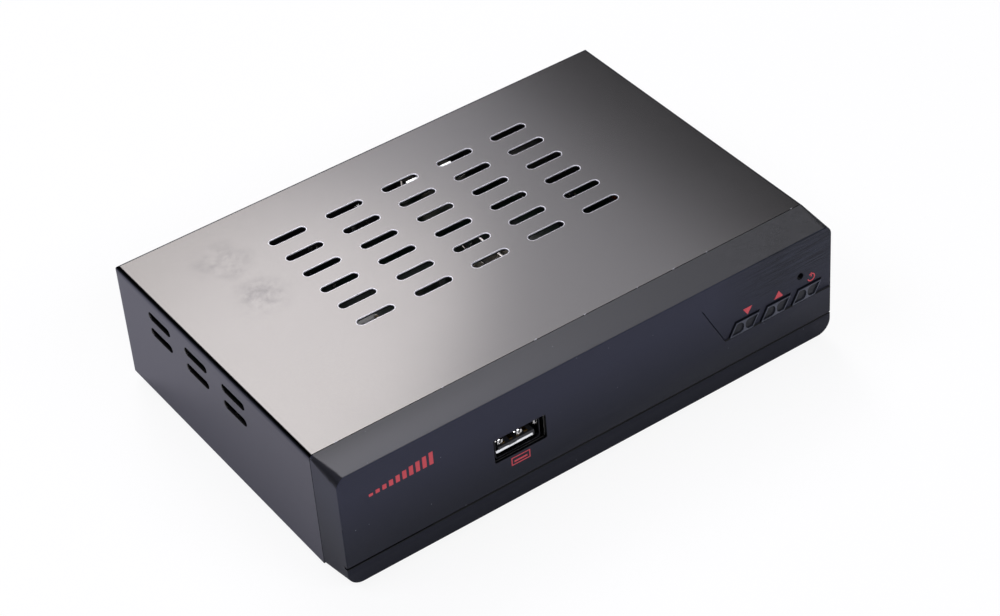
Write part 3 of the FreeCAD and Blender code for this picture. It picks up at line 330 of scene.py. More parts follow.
def paintedSteel():
    # satin dark grey paint with fine metal flake, sprayed on sheet: soft broad reflections, a faint ripple, paler
    # rims where the punch thinned it, with a painted highlight on them, painted shade on the bends and painted glints
    # on the nicks of the front edge
    c = coverPaint
    material, tree, shader = newMaterial("painted steel, sprayed satin", {
        "Metallic": c["metallic"], "Specular Tint": hexColour(c["edgeTint"])})
    ripple = addNode(tree, "TexNoise", {"Scale": 1 / (c["peel"] * mm), "Detail": 3.0}, {"Vector": objectPlace(tree)})
    cloud = addNode(tree, "TexNoise", {"Scale": 1 / (c["cloud"] * mm), "Detail": 5.0, "Roughness": 0.62},
                    {"Vector": objectPlace(tree)})
    inMm = objectPlace(tree, perMm)
    fromSmudges = [addNode(tree, "VectorMath", {"operation": "DISTANCE", 1: spot}, {0: inMm})
                   for spot in c["smudges"]]
    nearest = addNode(tree, "Math", {"operation": "MINIMUM"},
                      {i: node.outputs["Value"] for i, node in enumerate(fromSmudges)})
    near = addNode(tree, "MapRange", {"From Min": c["smudgeReach"][0], "From Max": c["smudgeReach"][1],
                                      "To Min": 1, "To Max": 0}, {"Value": nearest})
    finger = addNode(tree, "TexNoise", {"Scale": 1 / (c["fingerprint"] * mm), "Detail": 6.0, "Roughness": 0.75},
                     {"Vector": objectPlace(tree)})
    smear = addNode(tree, "Math", {"operation": "MULTIPLY"},
                    {0: near, 1: ramp(tree, finger, [(0.44, 0.0), (0.62, 1.0)])})
    # rims, thinned paint with a painted highlight: distance from the middle line of the nearest vent
    middle, pitch, vent = c["ventMiddle"], c["ventPitch"], c["vent"]
    cells = objectPlace(tree, (1000 / pitch[0], 1000 / pitch[1], 0),
                        (0.5 - middle[0] / pitch[0], -middle[1] / pitch[1], 0))
    share = addNode(tree, "VectorMath", {"operation": "FRACTION"}, {0: cells})
    local = addNode(tree, "VectorMath", {"operation": "MULTIPLY_ADD", 1: (*pitch, 0),
                                         2: (-pitch[0] / 2, -pitch[1] / 2, 0)}, {0: share})
    away = distanceFrom(tree, local, ((vent[0] - vent[1]) / 2, 0, 0))
    fade, end = [vent[1] / 2 + width for width in c["rimWidth"]]
    ring = addNode(tree, "MapRange", {"From Min": fade, "From Max": end, "To Min": 1, "To Max": 0}, {"Value": away})
    outside = distanceFrom(tree, objectPlace(tree, perMm, [-v for v in middle]), c["ventGrid"])
    inside = addNode(tree, "Math", {"operation": "LESS_THAN", 1: 0.01}, {0: outside})
    rim = addNode(tree, "Math", {"operation": "MULTIPLY"}, {0: ring, 1: inside})
    # painted shade on the bends along both sides and at the back
    unsigned = addNode(tree, "VectorMath", {"operation": "ABSOLUTE"}, {0: inMm})
    bends = []
    for source, (along, start, end) in ((unsigned, c["sideBend"]), (inMm, c["backBend"])):
        reach = addNode(tree, "VectorMath", {"operation": "DOT_PRODUCT", 1: along}, {0: source})
        bends.append(addNode(tree, "MapRange", {"From Min": start, "From Max": end},
                             {"Value": reach.outputs["Value"]}))
    bend = addNode(tree, "Math", {"operation": "MAXIMUM"}, {0: bends[0], 1: bends[1]})
    # nicks along the front edge, painted bright as glints
    apart = addNode(tree, "TexNoise", {"Scale": 1.0, "Detail": 3.0},
                    {"Vector": objectPlace(tree, (1 / (c["nickGap"] * mm), 0, 0))})
    place = addNode(tree, "SeparateXYZ", {}, {0: inMm})
    front = addNode(tree, "Math", {"operation": "LESS_THAN", 1: c["frontEdge"]}, {0: place.outputs["Y"]})
    nick = addNode(tree, "Math", {"operation": "MULTIPLY"},
                   {0: front, 1: ramp(tree, apart, [(0.61, 0.0), (0.65, 1.0)])})
    grain = addNode(tree, "TexNoise", {"Scale": 1 / (c["flake"] * mm), "Detail": 3.0}, {"Vector": objectPlace(tree)})
    speckle = addNode(tree, "MapRange", {"From Min": 0.35, "From Max": 0.65}, {"Value": grain})
    colour = overlay(tree, c["colour"], [(c["grain"], speckle), (c["smeared"], smear), (c["rim"], rim),
                                         (c["nick"], nick), (c["bend"], bend)])
    rough = addNode(tree, "MapRange", {"To Min": c["roughness"] - 0.01, "To Max": c["roughness"] + 0.02},
                    {"Value": cloud})
    for amount, factor in ((0.05, smear), (0.25, rim), (0.25, nick), (-0.05, bend)):
        rough = addNode(tree, "Math", {"operation": "MULTIPLY_ADD", 1: amount}, {0: factor, 2: rough})
    link(tree, shader, {"Base Color": colour, "Roughness": rough})
    bump(tree, shader, ripple, 0.03, 0.02 * mm)
    return material


bezelPlastic = {
    # painted shade: the front face darkens from head to foot
    "foot": "#0b0c14",
    "middle": "#17181f",
    "head": "#262733",
    # painted light: faces that look up take this paler colour
    "top": "#313130",
    "corner": "#0b0b0e",      # painted shade where the top turns into the sides
    # painted shade inside the data socket's opening and in the groove
    "opening": "#020203",
    "groove": "#030305",
    "speck": "#63656d",
    "brushed": "#121318",
    "line": "#2b2e39",
    "roughness": 0.5,
    "topRoughness": 0.3,
    "mirrorTint": "#ebeeff",
    "height": (2, 38),                  # mm, where the foot's colour begins to change and where the head's is full; painted shade darkens the face towards the foot
    # mm, what moves the data socket's opening or the groove to the origin, and its half size
    "openingBox": ((24.3, 55.0, -21.5), (8.02, 8.0, 3.82)),
    "grooveBox": ((0.0, 58.0, -8.8), (80.0, 1.6, 0.34)),
    "toolGrain": 0.35,                  # mm
    "streak": (9.0, 4.0, 0.12),         # mm, length, depth and width of the fine brushed lines
    "brushedFrom": (38, 21),            # mm, X and Z where the brushed area begins and where it is full
    "brushedFull": (58, 30),
}


def mouldedAbs():
    # ABS moulded in a fine spark-eroded tool: dark blue-black, dull, with painted shade that darkens it towards the
    # foot, a paler top that is painted light, painted shade in the rounded corners, the socket's opening and the
    # groove;
    # brushed lines in the flat area by the keys
    c = bezelPlastic
    material, tree, shader = newMaterial("ABS, moulded satin", {
        "Specular IOR Level": 0.2, "Specular Tint": hexColour(c["mirrorTint"])})
    grain = addNode(tree, "TexNoise", {"Scale": 1 / (c["toolGrain"] * mm), "Detail": 4.0},
                    {"Vector": objectPlace(tree)})
    streak = addNode(tree, "TexNoise", {"Scale": 1.0, "Detail": 5.0, "Roughness": 0.7},
                     {"Vector": objectPlace(tree, [1 / (size * mm) for size in c["streak"]])})
    place = addNode(tree, "SeparateXYZ", {}, {0: objectPlace(tree, perMm)})
    right, high = [addNode(tree, "MapRange", {"From Min": start, "From Max": full}, {"Value": place.outputs[axis]})
                   for axis, start, full in zip("XZ", c["brushedFrom"], c["brushedFull"])]
    area = addNode(tree, "Math", {"operation": "MULTIPLY"}, {0: right, 1: high})
    lines = addNode(tree, "Math", {"operation": "MULTIPLY"},
                    {0: area, 1: ramp(tree, streak, [(0.47, 0.0), (0.59, 1.0)])})
    both = addNode(tree, "Math", {"operation": "MULTIPLY_ADD", 1: 0.25}, {0: grain, 2: lines})
    height = addNode(tree, "MapRange", {"From Min": c["height"][0], "From Max": c["height"][1]},
                     {"Value": place.outputs["Z"]})
    # faces that look up: their paler colour is painted light, their lower roughness is the real finish
    facing = addNode(tree, "TexCoord").outputs["Normal"]
    tone = addNode(tree, "MapRange", {"From Min": 0.9, "From Max": 0.99},
                   {"Value": addNode(tree, "SeparateXYZ", {}, {0: facing}).outputs["Z"]})
    # painted shade on the rounded corners between the top and the sides
    slant = addNode(tree, "VectorMath", {"operation": "ABSOLUTE"}, {0: facing})
    lean = addNode(tree, "VectorMath", {"operation": "DOT_PRODUCT", 1: (0.707, 0, 0.707)}, {0: slant})
    corner = addNode(tree, "MapRange", {"From Min": 0.8, "From Max": 0.88}, {"Value": lean.outputs["Value"]})
    # painted shade: near black inside the socket's opening and the groove
    hole, groove = [addNode(tree, "Math", {"operation": "LESS_THAN", 1: 0.01},
                            {0: distanceFrom(tree, objectPlace(tree, perMm, where), half)})
                    for where, half in (c["openingBox"], c["grooveBox"])]
    # painted shade darkens the face towards the foot
    colour = overlay(tree, ramp(tree, height, [(0.0, c["foot"]), (0.3, c["middle"]), (0.8, c["head"])]),
                     [(c["brushed"], area), (c["line"], lines), (c["top"], tone), (c["corner"], corner),
                      (c["speck"], specks(tree)), (c["groove"], groove), (c["opening"], hole)])
    finishSurface(tree, shader, tone, (c["roughness"], c["topRoughness"]), both, 0.5, 0.05, colour)
    return material


keyPlastic = {
    # painted shade in the recessed pockets and a painted highlight on the raised ribs
    "pocket": "#101218",
    "rib": "#41434c",
    "front": (-59.0, -58.6),   # mm, the ribs' front and the pockets' floor
    "wear": 1.2,               # mm
    "roughness": (0.42 - 0.08, 0.42 + 0.08),
}


def polishedAbs():
    # ABS moulded in a polished tool: painted shade keeps the recessed pockets dark, a painted highlight makes the
    # raised ribs paler
    c = keyPlastic
    material, tree, shader = newMaterial("ABS, moulded and polished", {"Specular IOR Level": 0.25})
    place = addNode(tree, "SeparateXYZ", {}, {0: objectPlace(tree, perMm)})
    worn = addNode(tree, "TexNoise", {"Scale": 1 / (c["wear"] * mm), "Detail": 4.0}, {"Vector": objectPlace(tree)})
    # painted shade and highlight by depth: dark in the pockets, paler on the ribs
    depth = addNode(tree, "MapRange", {"From Min": c["front"][0] + 0.08, "From Max": c["front"][1] - 0.08,
                                       "To Min": 1, "To Max": 0}, {"Value": place.outputs["Y"]})
    colour = overlay(tree, c["pocket"], [(c["rib"], depth)])
    finishSurface(tree, shader, worn, c["roughness"], worn, 0.3, 0.004, colour)
    return material


def mouldedPlastic(name, colour, roughness, grainSize=0.4, grainDepth=0.01, specular=0.45):
    # moulded plastic with a fine tool grain, or none where the tool was polished
    material, tree, shader = newMaterial(name, {"Base Color": hexColour(colour), "Specular IOR Level": specular})
    grain = addNode(tree, "TexNoise", {"Scale": 1 / (grainSize * mm), "Detail": 3.0}, {"Vector": objectPlace(tree)})
    finishSurface(tree, shader, grain, (roughness - 0.05, roughness + 0.06), grain, 0.4, grainDepth)
    return material


def platedMetal(name, colour, roughness, drawn=(6.0, 0.12), depth=0.004, stain=0.25):
    # plated metal: fine lines from drawing or turning, and a cloudy plate that dulls it in places
    material, tree, shader = newMaterial(name, {"Metallic": 1.0})
    length, width = drawn
    lines = addNode(tree, "TexNoise", {"Scale": 1.0, "Detail": 4.0},
                    {"Vector": objectPlace(tree, (1 / (length * mm), 1 / (width * mm), 1 / (width * mm)))})
    cloud = addNode(tree, "TexNoise", {"Scale": 1 / (5 * mm), "Detail": 4.0}, {"Vector": objectPlace(tree)})
    dark = [c * (1 - stain) for c in hexColour(colour)[:3]] + [1]
    mixed = addNode(tree, "Mix", {"data_type": "RGBA", 6: dark, 7: hexColour(colour)},
                    {0: ramp(tree, cloud, [(0.35, 0.0), (0.6, 1.0)])})
    finishSurface(tree, shader, lines, (roughness - 0.06, roughness + 0.1), lines, 0.3, depth, mixed.outputs[2])
    return material


circuitBoard = {
    "mask": "#06180f",
    "track": "#0b2a1b",
    "trackPitch": 0.9,   # mm
    "blockSize": 7.0,    # mm, stretch over which tracks keep one direction
    "trackHeight": 0.035,
    "weave": 0.5,        # mm
    "roughness": (0.26, 0.4),
}


def solderMask():
    # glass laminate under printed green solder mask: tracks show through as lighter raised lines
    c = circuitBoard
    material, tree, shader = newMaterial("glass laminate, green solder mask", {
        "Specular IOR Level": 0.5, "Coat Weight": 0.35, "Coat Roughness": 0.12})
    area = addNode(tree, "TexVoronoi", {"distance": "CHEBYCHEV", "Scale": 1.0, "Randomness": 0.85},
                   {"Vector": objectPlace(tree, [1 / (c["blockSize"] * mm)] * 3)})
    pick = addNode(tree, "SeparateColor", {}, {0: area.outputs["Color"]})
    sideways = addNode(tree, "Math", {"operation": "GREATER_THAN", 1: 0.5}, {0: pick})
    place = addNode(tree, "SeparateXYZ", {}, {0: objectPlace(tree)})
    across = addNode(tree, "Mix", {"data_type": "FLOAT"}, {0: sideways, 2: place.outputs["X"], 3: place.outputs["Y"]})
    wave = addNode(tree, "Math", {"operation": "MULTIPLY", 1: 1 / (c["trackPitch"] * mm)}, {0: across})
    saw = addNode(tree, "Math", {"operation": "FRACT"}, {0: wave})
    line = ramp(tree, saw, [(0.30, 0.0), (0.34, 1.0), (0.66, 1.0), (0.70, 0.0)])
    used = addNode(tree, "Math", {"operation": "GREATER_THAN", 1: 0.35}, {0: pick.outputs[1]})
    track = addNode(tree, "Math", {"operation": "MULTIPLY"}, {0: line, 1: used})
    weave = addNode(tree, "TexNoise", {"Scale": 1 / (c["weave"] * mm)}, {"Vector": objectPlace(tree)})
    colour = overlay(tree, c["mask"], [(c["track"], track)])
    finishSurface(tree, shader, weave, c["roughness"], track, 0.6, c["trackHeight"], colour)
    return material


print("materials")
paint = paintedSteel()
bezelAbs = mouldedAbs()
keyAbs = polishedAbs()
rubber = mouldedPlastic("rubber, moulded matt", "#1a1a1b", 0.75, 0.3, 0.03, 0.3)
blackPlastic = mouldedPlastic("glass-filled nylon, moulded black", "#1b1b1d", 0.5, 0.25, 0.01)
whitePlastic = mouldedPlastic("PBT, moulded white", "#e9e8e4", 0.4, 0.4, 0.005)
# white that stands in for the tongue edge's reflection, a painted highlight
glossWhite = mouldedPlastic("LCP, moulded glossy white", "#f8f8f5", 0.22, 0.4, 0.0)
yellowPlastic = mouldedPlastic("polypropylene, moulded yellow", "#e8b51c", 0.35, 0.4, 0.004)
ivoryPlastic = mouldedPlastic("polypropylene, moulded ivory", "#e6e3d8", 0.35, 0.4, 0.004)
redPlastic = mouldedPlastic("polypropylene, moulded red", "#b91f1f", 0.35, 0.4, 0.004)
chipEpoxy = mouldedPlastic("epoxy, transfer moulded", "#222223", 0.62, 0.12, 0.012)
ferrite = mouldedPlastic("ferrite, sintered", "#3a3a3b", 0.7, 0.2, 0.02)
lampResin = mouldedPlastic("epoxy lens, cast smoke grey", "#1a1c1e", 0.15, 0.5, 0.0)
receiverResin = mouldedPlastic("epoxy lens, cast dark", "#1c1218", 0.12, 0.5, 0.0)
sleeve = mouldedPlastic("PET sleeve, shrunk on", "#20232e", 0.25, 0.8, 0.004)
tinPlate = platedMetal("tin plate, rolled", "#b9b8b2", 0.34)
nickel = platedMetal("nickel plate, turned", "#cfc9bd", 0.2, (0.12, 0.6))
gold = platedMetal("gold flash on bronze, stamped", "#d9ac55", 0.24)
zincBlack = platedMetal("black zinc plate on steel, rolled", "#3a3a3c", 0.38)
zincBright = platedMetal("bright zinc plate on steel, rolled", "#b8bcc0", 0.28)
aluminium = platedMetal("aluminium, extruded", "#d2cec8", 0.24, (0.15, 5.0), 0.006)
laminate = solderMask()
darkNickel = platedMetal("black nickel plate, stamped", "#2b2b2e", 0.3)
brightNickel = platedMetal("nickel plate, stamped spring", "#e6e4de", 0.12, (6.0, 0.3), 0.002)
copper = platedMetal("copper wire, enamelled", "#b5622e", 0.25, (6.0, 0.4), 0.01)
ceramic = mouldedPlastic("ceramic, fired", "#8c7a5e", 0.5, 0.2, 0.01)
printInk = mouldedPlastic("screen ink, red", "#b8434a", 0.6, 0.25, 0.004, 0.3)
paleInk = mouldedPlastic("screen ink, pale grey", "#c4c4c6", 0.6, 0.25, 0.004, 0.3)
sleeveInk = mouldedPlastic("sleeve ink, pale grey", "#b9bcc4", 0.4, 0.25, 0.004, 0.4)

# CAD nodes that no piece replaces keep their own mesh and take a material
for material, names in (
        (paint, "top_cover bottom_chassis"),
        (blackPlastic, "switch_plunger_channel_down switch_plunger_channel_up switch_plunger_power"),
        (blackPlastic, "video_socket_tongue"),
        (whitePlastic, "aerial_insulators"),
        (ferrite, "power_chokes"),
        (lampResin, "standby_lamp"),
        (receiverResin, "infrared_receiver"),
        (tinPlate, "switch_plates crystal"),
        (nickel, "power_jack_pin"),
        (gold, "link_pins data_socket_contacts aerial_contacts"),
        (zincBright, "board_standoffs"),
        (laminate, "front_board main_board")):
    for name in names.split():
        data = nodes[name].data
        data.materials.clear()
        data.materials.append(material)


frontFinish = {
    "edge": 0.12,         # mm, roundness of the moulded edges
    "keyEdge": 0.14,
}


def frontPieces():
    rounded("front_bezel", "bezel_moulding", bezelAbs, frontFinish["edge"], 50)
    for key in ("channel_down", "channel_up", "power"):
        rounded("key_" + key, "cap_" + key, keyAbs, frontFinish["keyEdge"], body="key_" + key)


frontPrint = {
    "face": -58.5,
    "film": 0.04,                   # mm, thickness of the print
    "meter": (-69.0, 28.4, 19.0),   # left, foot, length of the rising bars
    "meterBars": 10,
    "meterHeight": (0.8, 4.0),
    "keySigns": ((49.0, 24.25), (59.5, 24.25), (70.6, 24.3)),
    "socketSign": (-24.6, 15.5),
}


def printedSigns():
    p = frontPrint
    bm = bmesh.new()
    low, high = p["face"] - p["film"], p["face"] + 0.02
    # a signal meter: bars that rise to the right
    left, foot, length = p["meter"]
    pitch = length / (p["meterBars"] - 0.4)
    for i in range(p["meterBars"]):
        height = p["meterHeight"][0] + (p["meterHeight"][1] - p["meterHeight"][0]) * i / (p["meterBars"] - 1)
        block(bm, (left + pitch * i, low, foot), (left + pitch * (i + 0.6), high, foot + height))
    # down, up and power over the keys
    (downX, downZ), (upX, upZ), (powerX, powerZ) = p["keySigns"]
    depth = high - low
    join(bm, slab([(-1.5, 1.1), (1.5, 1.1), (0, -1.2)], depth), Matrix.Translation((downX, low, downZ)))
    join(bm, slab([(-1.5, -1.1), (1.5, -1.1), (0, 1.2)], depth), Matrix.Translation((upX, low, upZ)))
    arc = turned([(0.95, 0), (1.3, 0), (1.3, depth), (0.95, depth)], 30, math.radians(290), ring=True)
    start = Matrix.Rotation(math.radians(55), 4, "Y") @ at((0, 0, 0), (0, 1, 0))   # leaves the gap at the top
    join(bm, arc, Matrix.Translation((powerX, low, powerZ)) @ start)
    block(bm, (powerX - 0.18, low, powerZ + 0.25), (powerX + 0.18, high, powerZ + 1.55))
    piece(bm, "printed_signs", printInk, smooth=30)
    # a port's outline under the data socket, laid on the gently raised face
    face = nodeMesh("front_bezel")
    surface = BVHTree.FromBMesh(face)
    face.free()
    bm = bmesh.new()
    x, z = p["socketSign"]
    for a, b, c, d in ((-2.9, 2.9, 1.0, 1.3), (-2.9, 2.9, -1.3, -1.0), (-2.9, -2.6, -1.3, 1.3),
                       (2.6, 2.9, -1.3, 1.3), (-2.0, 2.0, -0.45, 0.1)):
        block(bm, (x + a, low, z + c), (x + b, high, z + d))
    for vert in bm.verts:
        hit = surface.ray_cast(Vector((vert.co.x, -70, vert.co.z)), Vector((0, 1, 0)))[0]
        vert.co.y += hit.y - p["face"]
    piece(bm, "printed_port", printInk, smooth=30)


dataSocket = {
    # x, and how far back it stands
    "springs": ((-30.0, 0.0), (-24.1, 0.0), (-18.6, 0.6)),
    "springWidth": 1.6,
    "springSlot": 0.5,
    "springSheet": 0.2,
    # how far back from the face and how high the middle of the strip runs
    "springLine": ((-57.75, 24.0), (-57.72, 23.1), (-57.45, 22.6), (-57.0, 22.5), (-56.5, 22.8), (-56.2, 23.6)),
    "lipHeight": 0.44,
    "lipDepth": 0.2,
    "lipSlope": 0.7,
    "trim": (-32.22, -16.42, 17.62, 25.0),   # mm, left, right, foot and top
    "trimWire": 0.13,
}


def dataSocketPieces():
    rounded("data_socket_shell", "data_shell", darkNickel, 0.05)
    rounded("data_socket_tongue", "data_tongue", blackPlastic, 0.12)
    d = dataSocket
    # a white lip along the lower part of the tongue's end; its white is a painted highlight for the edge's reflection
    low, high = boxOf("data_socket_tongue")
    middle, reach, up = (low.x + high.x) / 2 - 0.75, 5.65, d["lipHeight"]
    lip = slab([(middle + x, z) for x, z in ((-reach, 0), (reach, 0), (reach, up), (0.9, up), (0.7, up - 0.14),
                                             (-1.5, up - 0.14), (-1.7, up), (-reach, up))], d["lipDepth"])
    for vert in lip.verts:
        vert.co.y -= d["lipSlope"] * (up - vert.co.z)
    bmesh.ops.translate(lip, vec=(0, low.y - 0.04, low.z + 0.88), verts=lip.verts)
    piece(lip, "data_tongue_lip", glossWhite, bevel=0.04)
    # a thin plated trim just inside the opening
    low, high = boxOf("data_socket_shell")
    left, right, under, over = d["trim"]
    ring = slab([(left, under), (right, under), (right, over), (left, over)], 0.35)
    flats = [f for f in ring.faces if abs(f.normal.y) > 0.9]
    bmesh.ops.inset_region(ring, faces=flats, thickness=d["trimWire"], use_even_offset=True)
    bmesh.ops.bridge_loops(ring, edges=[e for f in flats for e in f.edges])
    bmesh.ops.delete(ring, geom=flats, context="FACES_ONLY")
    bmesh.ops.translate(ring, vec=(0, low.y - 0.1, 0), verts=ring.verts)
    bmesh.ops.recalc_face_normals(ring, faces=ring.faces)
    piece(ring, "data_trim", tinPlate, smooth=30)
    # folded spring leaves at the mouth
    bm = bmesh.new()
    leg = (d["springWidth"] - d["springSlot"]) / 2
    for x, back in d["springs"]:
        line = [(y + back, z) for y, z in d["springLine"]]
        for side in (-1, 1):
            join(bm, strip(line, x + side * (leg + d["springSlot"]) / 2, leg, d["springSheet"]))
        join(bm, strip(line[2:4], x, d["springWidth"], d["springSheet"]))
    piece(bm, "data_springs", brightNickel, smooth=60)


screws = {
    "standIn": (2.7, 1.5),   # mm, the plain head's radius and height in the CAD
    "headRadius": 2.3,
    "headHeight": 1.1,
    "shankRadius": 1.4,
    "threadDepth": 0.22,
    "threadPitch": 0.7,
    "crossWidth": 0.62,
    "crossLength": 2.6,
    "crossDepth": 0.75,
    "frontMiddle": -4.0,   # the front board's middle screw, between the outer two
}


def screwShape(length):
    s = screws
    r, h, shank = s["headRadius"], s["headHeight"], s["shankRadius"]
    outline = [(0, -length), (shank - 0.45, -length)]
    turns = int((length - 0.8) / s["threadPitch"])
    for i in range(turns):
        z = -length + 0.4 + i * s["threadPitch"]
        outline += [(shank - s["threadDepth"], z), (shank, z + s["threadPitch"] / 2)]
    outline += [(shank - s["threadDepth"], -0.35), (shank, 0), (r, 0), (r, h * 0.35), (r - 0.07, h * 0.62),
                (r - 0.3, h * 0.84), (r - 0.75, h * 0.95), (r * 0.45, h * 0.99), (0, h)]
    tool = bmesh.new()
    for across in (0, 1):
        size = [s["crossLength"] / 2, s["crossWidth"] / 2]
        x, y = size if across == 0 else size[::-1]
        verts = block(tool, (-x, -y, h - s["crossDepth"]), (x, y, h + 1))
        for vert in verts:
            if vert.co.z < h:
                vert.co.x *= 0.45 if x > y else 0.8
                vert.co.y *= 0.45 if y > x else 0.8
    return cutAway(turned(outline, 28), tool)


def screwSeats(node):
    # the middles of the heads' undersides
    low, high = boxOf(node)
    middle = (low + high) / 2
    r, head = screws["standIn"]
    xs, ys = (low.x + r, high.x - r), (low.y + r, high.y - r)
    if node == "cover_screws":
        return [(x, high.y - head, middle.z) for x in (xs[0], middle.x, xs[1])]
    if node == "bezel_screws":
        return [(x, middle.y, low.z + head) for x in xs]
    if node == "front_board_screws":
        return [(x, high.y - head, middle.z) for x in (xs[0], screws["frontMiddle"], xs[1])]
    return [(x, y, high.z - head) for x in xs for y in ys]


def screwPieces():
    sets = {
        # node: the way that the heads face, length, material, slot
        "cover_screws": ((0, 1, 0), 5.0, zincBlack, "black_zinc"),
        "bezel_screws": ((0, 0, -1), 5.0, zincBlack, "black_zinc"),
        "board_screws": ((0, 0, 1), 6.6, zincBright, "bright_zinc"),
        "front_board_screws": ((0, 1, 0), 6.6, zincBright, "bright_zinc"),
    }
    for node, (direction, length, material, slot) in sets.items():
        seats = screwSeats(node)
        turns = [turnZ(math.radians(23 + 37 * i)) for i in range(len(seats))]
        bm = placed(screwShape(length), *[at(seat, direction) @ turn for seat, turn in zip(seats, turns)])
        piece(bm, node + "_cross", material, replaces=[node], smooth=38)


aerialSocket = {
    "radius": 4.76,
    "threadPitch": 0.794,    # mm, 32 turns to the inch
    "threadRoot": 4.3,
    "bore": 3.6,
}


def aerialPieces():
    a = aerialSocket
    for node in ("aerial_socket_loop", "aerial_socket_in"):
        middle = middleOf(node)
        # radius and Y: collar in the board, nut, threads, chamfered mouth and bore
        outline = [(0, 44.35), (a["radius"], 44.35), (a["radius"], 47.75), (5.6, 47.75), (5.6, 49.2), (5.4, 49.4),
                   (a["threadRoot"], 49.4)]
        y = 49.7
        while y < 57.6:
            outline += [(a["threadRoot"], y), (a["radius"], y + a["threadPitch"] * 0.42),
                        (a["radius"], y + a["threadPitch"] * 0.55)]
            y += a["threadPitch"]
        outline += [(a["threadRoot"], y), (a["threadRoot"], 58.8), (a["threadRoot"] - 0.2, 59.0),
                    (a["bore"] + 0.15, 59.0), (a["bore"], 58.85), (a["bore"], 45.35), (0, 45.35)]
        bm = placed(turned(outline, 48), at((middle.x, 0, middle.z), (0, 1, 0)))
        piece(bm, node + "_threaded", nickel, replaces=[node], smooth=32)


jacks = {
    "colours": {"yellow": "yellow_insulator", "white": "ivory_insulator", "red": "red_insulator"},
    "radius": 4.15,
    "bore": 3.3,
    "tip": 58.0,
    "lugWidth": 2.6,     # mm, the earth strap that folds over the housing's inner edge
    "lugSheet": 0.25,
    # sideways place, width and drop of the strap's spring hooks
    "hooks": ((-1.7, 1.2, 1.1), (0.3, 0.7, 1.5), (2.6, 0.5, 1.3)),
}


def jackPieces():
    j = jacks
    r, bore, tip = j["radius"], j["bore"], j["tip"]
    # radius and Y: root, flange against the wall, sleeve with a rounded mouth, bore
    outline = [(0, 42.8), (r, 42.8), (r, 46.75), (5.2, 46.75), (5.2, 48.75), (5.05, 48.9), (r, 48.9),
               (r, tip - 0.45), (r - 0.06, tip - 0.2), (r - 0.2, tip - 0.05), (r - 0.4, tip), (bore + 0.25, tip),
               (bore + 0.07, tip - 0.07), (bore, tip - 0.25), (bore, 43.8), (0, 43.8)]
    places = []
    for colour in j["colours"]:
        middle = middleOf("jack_insert_" + colour)
        places.append(at((middle.x, 0, middle.z), (0, 1, 0)))
    piece(placed(turned(outline, 48), *places), "jack_sleeves", nickel, replaces=["jack_barrels"])
    # coloured insulators with a stepped mouth, and split contact sleeves inside them
    inner = bmesh.new()
    insert = [(0, 43.8), (3.25, 43.8), (3.25, 57.0), (3.1, 57.2), (2.3, 57.2), (2.1, 57.0), (2.1, 56.4),
              (1.6, 56.2), (1.6, 45.8), (0, 45.8)]
    materials = {"yellow": yellowPlastic, "white": ivoryPlastic, "red": redPlastic}
    for (colour, slot), place in zip(j["colours"].items(), places):
        piece(placed(turned(insert, 40), place), "insert_" + colour, materials[colour],
              replaces=["jack_insert_" + colour])
    for i in range(3):
        leaf = turned([(1.3, 46.2), (1.55, 46.2), (1.55, 55.6), (1.3, 55.6)], 8, math.radians(104), ring=True)
        join(inner, leaf, *[place @ turnZ(math.radians(120 * i)) for place in places])
    piece(inner, "jack_contacts", nickel)
    rounded("jack_block", "jack_housing", blackPlastic, 0.2, 60)
    # earth straps: over the housing's inner edge, down its face, then a curled spring end with two ears
    low, high = boxOf("jack_block")
    y, top, thick = low.y, high.z, j["lugSheet"]
    lugs = bmesh.new()
    for place in places:
        x, height = place.translation.x, place.translation.z
        line = [(y + 2.6, top + 1.2), (y + 1.1, top + 1.2), (y + 0.1, top + 0.05), (y - 0.2, top - 0.3),
                (y - 0.2, height + 0.4)]
        join(lugs, strip(line, x, j["lugWidth"], thick))
        join(lugs, strip([(y - 0.2, height + 1.1), (y - 0.2, height + 0.3)], x + 0.4, 5.6, thick))
        for aside, width, foot in j["hooks"]:
            low = height - foot
            hook = [(y - 0.2, height + 0.4), (y - 0.2, low + 1.0), (y - 1.06, low), (y - 1.06, low - 0.5)]
            join(lugs, strip(hook, x + aside, width, thick))
    piece(lugs, "jack_straps", brightNickel, smooth=60)


videoSocket = {
    "top": 10,       # contacts over the tongue, and one fewer under it
    "pitch": 1.0,
    "contact": (0.45, 0.06),
}


def videoPieces():
    v = videoSocket
    rounded("video_socket_shell", "video_shell", nickel, 0.12)
    # the shell's rim leans back over the opening that its mould left
    low, high = boxOf("video_socket_shell")
    back = high.y - 4.56
    flange = strip(((back, high.z), (back + 0.62, high.z + 0.72)), (low.x + high.x) / 2 - 0.25, high.x - low.x, 0.15)
    piece(flange, "video_flange", brightNickel, smooth=30)
    middle = middleOf("video_socket_tongue")
    width, thick = v["contact"]
    bm = bmesh.new()
    for count, side in ((v["top"], 1), (v["top"] - 1, -1)):
        for i in range(count):
            x = middle.x + (i - (count - 1) / 2) * v["pitch"]
            a, b = sorted((middle.z + side * 0.47, middle.z + side * (0.5 + thick)))
            block(bm, (x - width / 2, 42.9, a), (x + width / 2, 47.4, b))
    piece(bm, "video_contacts", gold)


def powerJackPieces():
    rounded("power_jack_body", "power_housing", blackPlastic, 0.2, 60)
    # the spring leaf that touches the plug's sleeve
    middle = middleOf("power_jack_pin")
    x, z = middle.x, middle.z - 2.9
    bm = bmesh.new()
    block(bm, (x - 0.6, 40.0, z), (x + 0.6, 47.2, z + 0.22))
    piece(bm, "power_leaf", nickel, bevel=0.05)


rearPrint = {
    "wall": 48.4,
    "film": 0.04,
    "signs": {"in": (60.5, 16.6), "loop": (43.5, 16.6), "direct": (-60.0, 16.8)},
}


